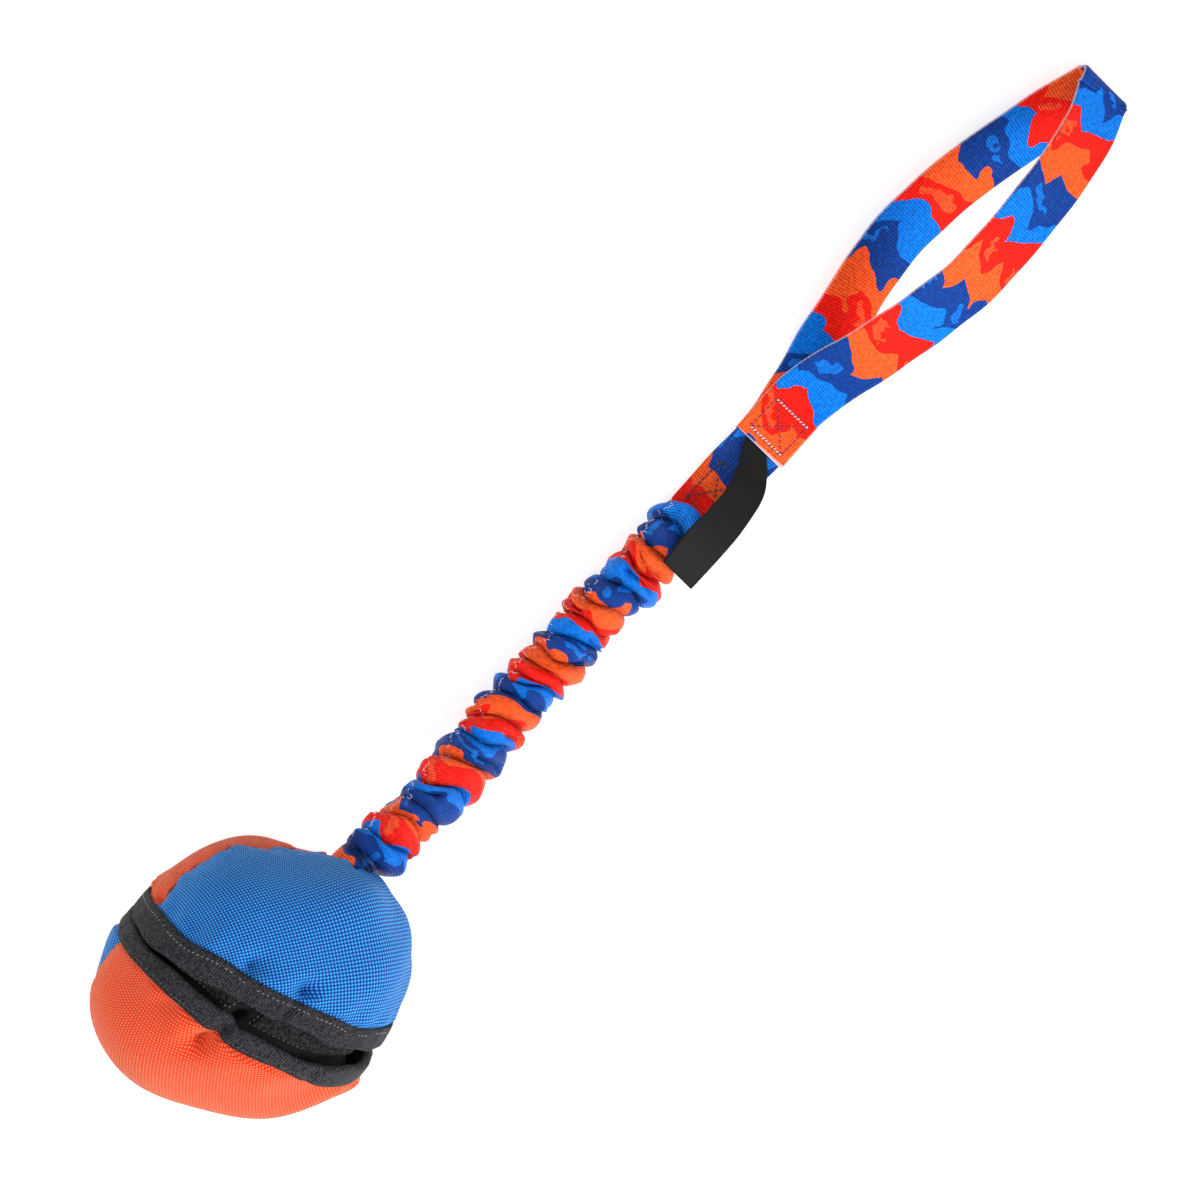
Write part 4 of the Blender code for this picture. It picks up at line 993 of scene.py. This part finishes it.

# %% [markdown]
# The two cups turn about a short tape inside the mouth's closed side. It is one sheet, laid on the far cup's
# wall on one side and on the near cup's on the other, joined across the hinge.

# %% Hinge tape
hinge_half_span = 24.0 * deg
hinge_tape_thickness = 0.7 * mm
hinge_bend = 6.0 * mm
tape_level = inner_binding_bottom + 0.5 * mm
turns = np.linspace(hinge_longitude - hinge_half_span, hinge_longitude + hinge_half_span, 60)
reach = np.linspace(0.0, binding_width["far"] - clearance, 10)
layers = []
for level in (tape_level, tape_level + hinge_tape_thickness):
    far_rows = ball_point("far", reach[::-1, None], turns[None, :], level)
    near_rows = ball_point("near", reach[1:, None], turns[None, :], level)
    layers.append(np.concatenate([far_rows, near_rows]))
along = np.linspace(-reach[-1], reach[-1], layers[0].shape[0])
hinge = thick_sheet("cup_hinge_tape", *layers, pairs(turns[None, :] * plan_radius, along[:, None]), black_tape)
line = ball_point("near", np.array([0.0]), np.array([hinge_longitude]), tape_level)[0]
near_end, far_end = (line + 0.5 * hinge_bend * poles[half] for half in ("near", "far"))
dress(hinge, "hinge_tape", "black_binding", "near_half", "far_half", near_end, far_end)
print("hinge tape blends across", round(hinge_bend * 1000), "mm")

# %% [markdown]
# ## The print
# Webbing and sleeve carry a wavy band print. It is worked out, so it stays sharp at any size: the place along
# the cloth, pushed by a zigzag and by noise, is counted in bands, and each band takes one of four colours.
# Every second band gets a lighter splash. The webbing's ribs run straight across the print and give the
# bump, and the selvedge and the cut end show pale undyed yarn.

# %% Band print and webbing material
navy, sky = (0.003, 0.045, 0.27), (0.001, 0.180, 0.74)
red, orange = (0.95, 0.012, 0.005), (1.0, 0.105, 0.018)
light_blue, light_red = (0.004, 0.150, 0.62), (0.97, 0.080, 0.020)
pale_yarn = (0.66, 0.54, 0.56)
print_band = 14.5 * mm
zigzag_width, zigzag_swing = 10.5 * mm, 55.0 * mm
splash_spacing, splash_radius = 25.0 * mm, 6.6 * mm


def printed_cloth(name, rib, half_width=0.0, cut_end=0.0, roughness=0.6, rib_height=0.3 * mm, gloss=0.10,
                  crease_shaded=False, start=0.0):
    """Zigzag bands along the cloth, a lighter splash on every second one, ribs with painted shade and glints, pale
    selvedges and cut end, and painted shade in a sleeve's creases.
    """
    material, tree = new_material(name)
    flat = on_cloth(tree)
    along, across = split(tree, flat)
    swing = (noise(tree, flat, 26.0) - 0.5) * zigzag_swing + across
    zigzag = swing.step("PINGPONG", zigzag_width) - 5.2 * mm
    pushed = zigzag * 0.9 + along + ((noise(tree, flat, 130.0) - 0.5) * (10.0 * mm) + start)
    count = (pushed * (0.25 / print_band)).step("FLOORED_MODULO", 1.0)
    bands = node(tree, "ShaderNodeValToRGB", {0: count})
    bands.color_ramp.interpolation = "CONSTANT"
    stops = bands.color_ramp.elements
    stops[0].color, stops[1].color = (*navy, 1), (*sky, 1)
    stops[1].position = 0.27
    for place, colour in ((0.50, red), (0.76, orange)):
        stops.new(place).color = (*colour, 1)
    colour = bands.outputs[0]
    edge = noise(tree, flat, 330.0)
    beside = (swing + 10 * mm).step("FLOORED_MODULO", splash_spacing) - 0.5 * splash_spacing
    for middle, splash in ((0.135, light_blue), (0.625, light_red)):
        ahead = (count - middle) * (4.0 * print_band)
        away = (ahead * ahead + beside * beside).step("SQRT")
        colour = mix_colour((edge * (7.0 * mm) + away).step("LESS_THAN", splash_radius), colour, splash)
    height = abs(along.wave(1.0 / rib)) ** 0.6 * (abs(across.wave(1.25 / rib)) * 0.3 + 0.7)
    # Painted light: the print is darker in the hollows between ribs and lighter on their crests, and fine noise adds
    # painted glints.
    shade = height.spread(0.0, 1.0, 0.62, 1.12) * noise(tree, flat, 620.0, 1.0).spread(0.35, 0.68, 0.80, 1.25)
    # Painted shade: in the sleeve's creases the print darkens to 0.3 of its colour.
    if crease_shaded:
        fold = Value(tree, node(tree, "ShaderNodeAttribute", attribute_name="fold").outputs["Fac"])
        shade = shade * fold.spread(0.05, 0.75, 0.30, 1.0)
    colour = node(tree, "ShaderNodeVectorMath", {0: colour, "Scale": shade}, operation="SCALE").outputs[0]
    frayed = noise(tree, flat, 900.0, 2.0) * (0.8 * mm)
    for place, limit in ((abs(across), half_width), (along, cut_end)):
        if limit:
            share = (place + frayed).spread(limit - 0.1 * mm, limit + 0.5 * mm, 0.0, 0.85)
            colour = mix_colour(share, colour, pale_yarn)
    return finish_material(material, colour, roughness, height, rib_height, gloss)


gathered_print = printed_cloth("printed_sleeve_cloth", 1.1 * mm, roughness=0.38, rib_height=0.4 * mm, gloss=0.16,
                               crease_shaded=True)
print("print material:", gathered_print.name)

# %% [markdown]
# ## The gathered sleeve
# The bungee is a cloth tube, sewn shorter than it is cut, over an elastic core. The spare cloth stands up in
# folds: sharp creases where it is held, round lobes between. A simulation would find such folds but not these
# ones, so they are a formula. Each crease slants from a place on the left side to one on the right. Passing
# a crease adds one to a count, and between two creases the cloth swells as a flattened half sine and leans
# over. The same count gives the flat-cloth map, so the print is squeezed and slanted as the cloth is.

# %% Sleeve shape
bungee_route = np.array([
    (54.0, 1.6, 46.9), (61.0, 1.6, 45.8), (78.0, -1.2, 41.4), (98.0, -3.0, 33.6), (118.0, -2.8, 24.6),
    (140.0, -0.8, 16.6), (162.0, 0.4, 13.2), (190.0, 1.4, 12.5), (222.0, 2.6, 12.3), (238.0, 1.8, 11.8),
    (246.0, 1.2, 9.6), (252.0, 1.0, 6.2), (258.0, 1.2, 3.8), (266.0, 1.6, 3.7), (280.0, 2.2, 3.7),
    (294.0, 2.0, 3.7), (314.0, 2.4, 3.7)]) * mm
left_creases = np.array([64, 72, 82, 93, 103, 113, 128, 137, 150, 158, 168, 174, 183, 193, 204, 214, 225, 235, 244,
                         252]) * mm
right_creases = np.array([68, 78, 88, 96, 108, 123, 134, 146, 157, 165, 172, 181, 190, 198, 207, 216, 227, 236, 244,
                          252]) * mm
left_crests = np.array([11.2, 12.0, 10.8, 12.0, 13.1, 13.7, 13.4, 14.6, 12.4, 13.0, 12.0, 12.4, 12.3, 15.0, 11.6,
                        11.0, 11.8, 12.2, 14.4]) * mm
right_crests = np.array([14.4, 14.0, 11.8, 12.8, 13.6, 13.4, 13.1, 13.0, 12.8, 12.8, 13.8, 13.6, 12.5, 11.4, 12.4,
                         15.4, 12.4, 12.0, 12.0]) * mm
sleeve_start = 54.0 * mm
flat_start = 258.0 * mm
fold_axis_x = 290.0 * mm
sleeve_end = 314.0 * mm
sleeve_neck_radius, valley_radius = 8.2 * mm, 7.7 * mm
sleeve_flat_width, sleeve_flat_thickness = 23.0 * mm, 2.8 * mm
sleeve_columns = 170
sleeve_step = 0.45 * mm
cloth_per_length = 2.0


def route_at(places):
    """Centre line at places along x, read from the smooth route."""
    x, y, z = smooth_curve(bungee_route, 12).T
    return np.stack([places, np.interp(places, x, y), np.interp(places, x, z)], 1)


def route_frame(points):
    """Tangent, sideways and upward directions of a path."""
    tangent = unit(np.gradient(points, axis=0))
    side = unit(np.cross(np.array([0.0, 0.0, 1.0]), tangent))
    return tangent, side, np.cross(tangent, side)


def fold_count(places, angle):
    """Creases passed at places along the sleeve, at angles round it from its left side upwards."""
    to_left = 0.5 + 0.5 * np.cos(angle)
    count = np.zeros(np.broadcast_shapes(places.shape, angle.shape))
    before = None
    for k, (left, right) in enumerate(zip(left_creases, right_creases)):
        crease = left * to_left + right * (1.0 - to_left)
        if 0 < k < len(left_creases) - 1:
            crease = crease + 1.4 * mm * np.sin(2 * angle + 2.4 * k) + 0.8 * mm * np.sin(3 * angle + 5.1 * k)
        if before is not None:
            count = count + np.clip((places - before) / (crease - before), 0.0, 1.0)
        before = crease
    return count


def fold_shape(places, angle):
    """Radius, lean and swell of the cloth: a lobe between each two creases, with smaller folds across it."""
    count = fold_count(places, angle)
    number = np.minimum(count.astype(int), len(left_crests) - 1)
    to_left = 0.5 + 0.5 * np.cos(angle)
    crest = left_crests[number] * to_left + right_crests[number] * (1.0 - to_left)
    crest = crest + (0.9 * np.sin(angle) * np.sin(2.2 * number) + 0.5 * np.sin(3 * angle + 1.9 * number)) * mm
    arch = np.abs(np.sin(math.pi * count))
    single = arch ** 0.5
    double = (0.62 * np.abs(np.sin(2 * math.pi * count)) ** 0.6 + 0.22) * arch ** 0.3
    patch = np.cos(angle + 1.9 * number) + np.cos(2 * angle - 1.1 * number + 1.0)
    share = smooth_step((patch - 0.35) / 0.7)
    swell = single * (1.0 - share) + double * share
    small = (np.sin(places / (1.35 * mm) + 3 * angle + 1.0) + np.sin(places / (2.3 * mm) - 4 * angle + 2.0 * number)
             + 0.6 * np.sin(places / (0.8 * mm) + 2 * angle + 4.0))
    valley = valley_radius + 0.9 * mm * np.cos(2 * angle)
    radius = valley + (crest - valley) * swell + 0.33 * mm * small * arch
    lean = 2.3 * mm * np.sin(1.7 * number + angle) * arch ** 1.5
    return radius, lean, swell


def hem_angle(places):
    """Angle of the overlocked seam, which the folds push to and fro on the upper left side."""
    return 36 * deg + 7 * deg * wobble(places, 13 * mm, 83) + 5 * deg * wobble(places, 6 * mm, 84)


def signed_power(value, power):
    return np.sign(value) * np.abs(value) ** power


def sleeve_surface(places, angle):
    """Points of the sleeve: a circle at the neck, folds along it, a flat band at its end."""
    points = route_at(places)
    along = places[:, None]
    radius, lean, _ = fold_shape(along, angle)
    start = smooth_step((along - 58 * mm) / (14 * mm))
    flat = smooth_step((along - left_creases[-1] + 1.5 * mm) / (flat_start - left_creases[-1]))
    radius = sleeve_neck_radius + (radius - sleeve_neck_radius) * start
    beside = turn_between(angle, hem_angle(along)) / deg
    radius = radius + (0.55 * bump(beside, 5.0) - 0.45 * bump(beside + 9.0, 5.0)) * mm * start
    wide = radius * (1 - flat) + 0.5 * sleeve_flat_width * flat
    high = radius * (1 - flat) + 0.5 * sleeve_flat_thickness * flat
    steps = (lean * start * (1 - flat), wide * signed_power(np.cos(angle), 1 - 0.35 * flat),
             high * signed_power(np.sin(angle), 1 - 0.55 * flat))
    place = points[:, None] + sum(step[..., None] * way[:, None] for step, way in zip(steps, route_frame(points)))
    place[..., 2] = np.maximum(place[..., 2], 0.02 * mm)
    return place


def cloth_place(places, angle):
    """Flat-cloth place: length of cloth up to here, which follows the fold count, and the turn round."""
    middle = 0.5 * (left_creases + right_creases)
    along = places[:, None] + 0.0 * angle
    level = np.interp(fold_count(along, angle), np.arange(len(middle)), middle)
    level = np.where(along < middle[0], np.minimum(along, middle[0]), level)
    length = np.where(along > middle[-1], (middle[-1] - middle[0]) * (cloth_per_length - 1.0) + along,
                      level + (level - middle[0]).clip(0.0) * (cloth_per_length - 1.0))
    return pairs(length, (angle + 0.5 * math.pi) * 10.0 * mm)


def sleeve_piece(name, rings, flat, depth, *bodies):
    """A length of sleeve that carries how deep in a fold each point lies, for the print's painted crease shade."""
    piece = closed_tube(name, rings, flat, gathered_print)
    fold = piece.data.attributes.new("fold", "FLOAT", "POINT")
    fold.data.foreach_set("value", np.append(depth.ravel(), (1.0, 1.0)).astype(np.float32))
    dress(piece, "bungee_sleeve", "printed_webbing", *bodies)


angles = np.arange(sleeve_columns + 1) * full_turn / sleeve_columns - 0.5 * math.pi
places = np.arange(sleeve_start, fold_axis_x + 0.5 * sleeve_step, sleeve_step)
rings = sleeve_surface(places, angles[None, :-1])
flat = cloth_place(places, angles[None, :])
_, _, depth = fold_shape(places[:, None], angles[None, :-1])
# No painted crease shade at the neck and at the flat end.
depth = np.where((places < 62.0 * mm)[:, None] | (places > 253.0 * mm)[:, None], 1.0, depth)
centre = route_at(places)[:, None]
tucked = centre + (rings - centre) * (1.0 - 0.05 * smooth_step((places - 63.0 * mm) / (1.5 * mm)))[:, None, None]
neck_bend = ("neck", "bungee", (55.0 * mm, 0, 0), (66.0 * mm, 0, 0))
stretch = ("bungee", "bungee_end", (66.0 * mm, 0, 0), (256.0 * mm, 0, 0))
low, high = places < 68.0 * mm, places > 64.9 * mm
sleeve_piece("sleeve_at_neck", tucked[low], flat[low], depth[low], *neck_bend)
sleeve_piece("gathered_sleeve", rings[high], flat[high], depth[high], *stretch)
tail = np.arange(fold_axis_x - 1.0 * mm, sleeve_end, 1.0 * mm)
tail_rings = sleeve_surface(tail, angles[None, :-1:2])
sleeve_piece("sewn_sleeve_tail", tail_rings, cloth_place(tail, angles[None, ::2]), np.ones(tail_rings.shape[:2]),
             "handle")
cloth_length = float(flat[-1, :, 0].mean() - flat[0, :, 0].mean())
print("sleeve cloth is", round(cloth_length * 1000), "mm long before gathering")

# %% [markdown]
# The cloth tube is closed by an overlocked seam, whose pale thread shows as a broken line on the upper left
# side. It is two rows of stitch beads slanted against each other, placed on the sleeve's own surface.

# %% Overlock on the sleeve
overlock_pitch, overlock_length, overlock_radius, overlock_slant = 0.95 * mm, 1.5 * mm, 0.13 * mm, 0.9
pale_thread = thread_material("pale_thread", (0.46, 0.34, 0.36), (0.85, 0.72, 0.73))
fine_places = np.linspace(66.0 * mm, 250.0 * mm, 1400)
hem = hem_angle(fine_places)[:, None]
line, beside = (sleeve_surface(fine_places, hem + turn * deg)[:, 0] for turn in (0.5, 4.0))
at, along = even_places(line, overlock_pitch)
nearest = np.array([np.argmin(np.sum((line - spot) ** 2, 1)) for spot in at])
outward = unit(np.cross(along, unit(beside[nearest] - line[nearest])))
outward = outward * np.sign(np.sum(outward * (at - route_at(at[:, 0])), 1))[:, None]
kept = np.random.default_rng(85).uniform(size=len(at)) < 0.6
for turn, name, slant in ((0, "overlock_rise", overlock_slant), (1, "overlock_fall", -overlock_slant)):
    chosen = kept & (np.arange(len(at)) % 2 == turn)
    row = stitch_row(name, at[chosen], along[chosen], outward[chosen], overlock_length, overlock_radius,
                     pale_thread, slant)
    dress(row, "bungee_sleeve", "grey_thread", *stretch)
    print(name, int(chosen.sum()), "stitches")

# %% [markdown]
# Inside the sleeve runs the elastic: a rubber core in a braided jacket. Both hide under the cloth. The sewn end
# inside the ball is a small square of dense thread.

# %% Elastic core and anchor
def braid(name, dark, light, pitch):
    """Round braid: two crossing trains of slanted strands on the flat place."""
    material, tree = new_material(name)
    u, v = thread_counts(tree, pitch, pitch)
    height, _ = weave(u + v, u - v)
    return finish_material(material, mix_colour(height, dark, light), 0.6, height, 0.3 * mm)


def rubber(name, base, speck):
    """Smooth rubber with faint mottling and a soft sheen."""
    material, tree = new_material(name)
    place = on_object(tree)
    mottle = noise(tree, place, 260.0, 5.0)
    return finish_material(material, mix_colour(mottle, base, speck), mottle.spread(0.0, 1.0, 0.54, 0.70),
                           noise(tree, place, 2600.0, 2.0), 0.03 * mm, 0.10)


cord_radius, jacket_thickness = 5.0 * mm, 0.9 * mm
cord_girth = 31.0 * mm
cord_places = np.linspace(61.0 * mm, 242.5 * mm, 120)
cord_angle = (np.arange(32) * full_turn / 32)[None, :, None]
cord_points = route_at(cord_places)
_, cord_side, cord_up = route_frame(cord_points)
cord_turn = np.cos(cord_angle) * cord_side[:, None] + np.sin(cord_angle) * cord_up[:, None]
inner_radius = cord_radius - jacket_thickness
core_rings, outer, inner = (cord_points[:, None] + radius * cord_turn
                            for radius in (inner_radius - clearance, cord_radius, inner_radius))
core = closed_tube("elastic_core", core_rings, pairs(cord_places[:, None], np.linspace(0, cord_girth, 33)[None, :]),
                   rubber("tan_rubber", (0.52, 0.43, 0.30), (0.66, 0.57, 0.42)))
walls = np.concatenate([outer, inner[::-1]]).transpose(1, 0, 2)
around = np.linspace(0.0, cord_girth, walls.shape[0] + 1)
along = np.concatenate([cord_places, cord_places[::-1], cord_places[:1]])
jacket = closed_ring("elastic_jacket", walls, pairs(along[None], around[:, None]),
                     braid("black_braid", (0.006, 0.006, 0.007), (0.05, 0.05, 0.055), 1.3 * mm))
dress(core, "cord_rubber", "elastic_rubber", *stretch)
dress(jacket, "cord_jacket", "cord_braid", *stretch)

dark_thread = thread_material("dark_thread", (0.020, 0.012, 0.030), (0.10, 0.05, 0.10))
anchor_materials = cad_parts["anchor_stitching"].data.materials
anchor_materials.clear()
anchor_materials.append(dark_thread)
print("core and jacket run", round((cord_places[-1] - cord_places[0]) * 1000), "mm")

# %% [markdown]
# ## The webbing handle
# One length of 25 mm webbing is folded into a loop, with its two ends sewn over and under the sleeve's end.
# Webbing keeps its width and bends only across it, so it is a thin rounded section carried along a smooth
# path with a roll at each point. Its selvedges are rounder than its middle and wander a hair from straight.

# %% Handle strap
strap_width = 25.0 * mm
strap_thickness = 2.0 * mm
strap_end_y = 1.45 * mm
strap_roll, crown_roll = 26.0 * deg, 22.0 * deg
# Millimetres along, sideways and up, and the roll as a share of the strap's roll.
lower_leg = np.array([
    (294.0, 1.45, 1.06, 0.0), (307.0, 2.6, 1.06, 0.0), (319.0, 5.2, 1.06, 0.0), (325.0, 6.6, 1.2, 0.08),
    (335.0, 9.2, 2.6, 0.34), (348.0, 12.6, 4.6, 0.72), (363.0, 16.4, 6.5, 1.0), (379.0, 19.4, 7.0, 1.0),
    (396.0, 21.2, 7.1, 1.0), (411.0, 20.9, 7.1, 1.0), (428.0, 19.3, 7.0, 1.0), (443.0, 16.8, 6.9, 1.0),
    (457.0, 14.2, 6.8, 1.0), (475.0, 10.0, 6.8, 0.94)])
upper_leg = np.array([
    (478.0, -4.0, 24.5, 0.92), (464.0, -7.1, 33.0, 1.0), (448.0, -9.8, 40.5, 1.0), (430.0, -11.4, 45.6, 1.0),
    (412.0, -12.6, 47.0, 1.0), (396.0, -12.2, 44.6, 1.0), (379.0, -9.8, 38.0, 0.94), (363.0, -6.7, 29.4, 0.8),
    (348.0, -3.4, 20.6, 0.58), (333.0, 0.6, 11.8, 0.28), (325.0, 2.0, 8.2, 0.1), (318.0, 2.6, 6.6, 0.0),
    (307.0, 2.2, 6.4, 0.0), (294.0, 1.45, 6.4, 0.0)])
crown_centre = np.array([489.0, 3.5, 13.0])
crown_radius = 5.3


def strap_path():
    """Centre line and roll: lower leg, half circle of the crown, upper leg, as one smooth curve."""
    turns = np.linspace(-0.5 * math.pi, 0.5 * math.pi, 7)
    sideways = (0.5 - (turns + 0.5 * math.pi) / math.pi) * crown_radius
    ring = np.stack([crown_radius * np.cos(turns), sideways, crown_radius * np.sin(turns)], 1)
    crown = np.column_stack([crown_centre + ring, np.full(7, crown_roll / strap_roll)])
    return smooth_curve(np.vstack([lower_leg, crown, upper_leg]) * (mm, mm, mm, strap_roll), 24)


def strap_section(count=26):
    """Half the width and thickness at points round the webbing: flat faces and round selvedges."""
    turn = np.linspace(0.0, math.pi, 7)[1:-1]
    flat = np.linspace(-1.0, 1.0, count)
    bead = 0.55 * strap_thickness
    inner_half = 0.5 * strap_width - bead
    face = 0.5 * strap_thickness * (1.0 + 0.10 * bump(np.abs(flat) - 0.95, 0.06))
    round_high = 0.5 * strap_thickness * np.cos(turn)
    wide = np.concatenate([flat * inner_half, inner_half + bead * np.sin(turn)])
    return np.concatenate([wide, -wide]), np.concatenate([face, round_high, -face, -round_high])


path = strap_path()
points, roll = path[:, :3], path[:, 3]
tangent = unit(np.gradient(points, axis=0))
tangent[0], tangent[-1] = (1, 0, 0), (-1, 0, 0)
width = np.stack([np.zeros(len(roll)), np.cos(roll), np.sin(roll)], 1)
width = unit(width - np.sum(width * tangent, 1)[:, None] * tangent)
face = np.cross(tangent, width)
length = run_length(points)
wide, high = strap_section()
wander = 0.18 * mm * wobble(length, 34 * mm, 71)[:, None]
rings = points[:, None] + (wide[None] + wander)[..., None] * width[:, None] + high[None, :, None] * face[:, None]
webbing = printed_cloth("printed_webbing", 1.25 * mm, 0.5 * strap_width, length[-1] - 0.5 * mm,
                        start=2.1 * print_band)
strap = closed_tube("webbing_loop", rings, pairs(length[:, None], np.append(wide, wide[0])[None]), webbing)
dress(strap, "handle_strap", "printed_webbing", "handle")
print("webbing cut length", round(length[-1] * 1000), "mm,", len(strap.data.polygons), "faces")

# %% [markdown]
# ## Box-and-cross stitching
# Both ends of the loop are sewn with a square and its two diagonals, the strongest simple pattern. The
# rows reuse the stitch beads: four sides and two diagonals of short dark stitches that lie on the cloth.
# Two bars of pale beads, slanted like rope, close the square over the handle's base.

# %% Box-and-cross rows
upwards = np.array([0.0, 0.0, 1.0])


def box_and_cross(name, centre, length, width, level, material, replaced, body):
    """Stitches along a rectangle's sides and its diagonals at a level."""
    corners = np.array([(-1, -1), (1, -1), (1, 1), (-1, 1)]) * (0.5 * length, 0.5 * width) + centre
    corners = np.column_stack([corners, np.full(4, level)])
    rows = [even_places(np.linspace(corners[a], corners[b], 40), 2.3 * mm)
            for a, b in ((0, 1), (1, 2), (2, 3), (3, 0), (0, 2), (1, 3))]
    at, along = (np.concatenate(each) for each in zip(*rows))
    row = stitch_row(name, at, along, np.broadcast_to(upwards, at.shape), 1.9 * mm, 0.32 * mm, material)
    dress(row, replaced, "dark_thread", body)


bungee_top = bungee_route[-1][2] + 0.5 * sleeve_flat_thickness
strap_top = upper_leg[-1][2] * mm + 0.5 * strap_thickness
handle_thread = thread_material("plum_thread", (0.16, 0.01, 0.03), (0.36, 0.05, 0.10))
box_and_cross("sleeve_end_stitches", (269.5 * mm, 1.8 * mm), 20.0 * mm, 14.0 * mm, bungee_top + 0.1 * mm,
              dark_thread, "sleeve_box_stitch", "bungee_end")
box_and_cross("handle_base_stitches", (305.5 * mm, strap_end_y), 16.0 * mm, 17.0 * mm, strap_top + 0.12 * mm,
              handle_thread, "handle_box_stitch", "handle")
bar_half = 8.6 * mm
for name, x in (("handle_bar_inner", 297.9 * mm), ("handle_bar_outer", 313.1 * mm)):
    ends = [(x, strap_end_y + y, strap_top + 0.2 * mm) for y in (-bar_half, bar_half)]
    at, along = even_places(np.linspace(*np.array(ends), 60), 1.5 * mm)
    row = stitch_row(name, at, along, np.broadcast_to(upwards, at.shape), 1.35 * mm, 0.40 * mm, pale_thread, 0.75)
    dress(row, "handle_box_stitch", "grey_thread", "handle")
print("box stitches lie at", round(bungee_top * 1000, 1), "and", round(strap_top * 1000, 1), "mm")

# %% [markdown]
# ## The rubber tab
# A soft grey rubber tab is sewn in under the handle's end and lies over the sleeve's right side. It is a
# thin sheet through measured left and right edges, and its face is left bare.

# %% Rubber tab
tab_thickness = 1.0 * mm
# Along, left edge, right edge, and the heights of the two edges.
tab_stations = np.array([(293.3, 8.0, -3.4, 5.6, 5.6), (289.6, 6.6, -7.2, 6.2, 6.1), (284.0, 3.2, -11.8, 8.2, 7.4),
                         (279.0, 1.0, -14.2, 11.4, 9.4), (273.0, -0.7, -15.6, 15.0, 11.6),
                         (262.0, -1.3, -17.2, 21.6, 15.6), (250.0, -1.2, -17.9, 25.6, 18.6),
                         (234.3, -2.9, -18.3, 26.8, 19.8)]) * mm
table = smooth_curve(tab_stations, 16)
left, right = table[:, (0, 1, 3)], table[:, (0, 2, 4)]
share = np.linspace(0.0, 1.0, 30)[None, :, None]
under = left[:, None] * (1.0 - share) + right[:, None] * share
normal = unit(np.cross(unit(np.gradient(under, axis=0)), unit(right - left)[:, None]))
normal = normal * np.sign(normal[..., 2:3])
length = run_length(left)
grey_rubber = rubber("grey_rubber", (0.004, 0.004, 0.004), (0.011, 0.011, 0.011))
flat = pairs(length[:, None], share[..., 0] * 20.0 * mm)
tab = thick_sheet("rubber_tab", under + tab_thickness * normal, under, flat, grey_rubber)
dress(tab, "label_tab", "label_rubber", "bungee_end", "label", (293.0 * mm, 0, 0), (284.0 * mm, 0, 0))
print("tab", round(length[-1] * 1000), "mm long")

# %% [markdown]
# ## Sizes and finish
# The dressed toy has to fill the same box as its solids, so both boxes are written out to compare.

# %% Write both boxes and finish
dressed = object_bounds()
for axis, a, b, c, d in zip("xyz", box_of_solids[0], box_of_solids[1], dressed[0], dressed[1]):
    print(axis, "solids", round(a * 1000, 1), round(b * 1000, 1), "dressed", round(c * 1000, 1), round(d * 1000, 1))
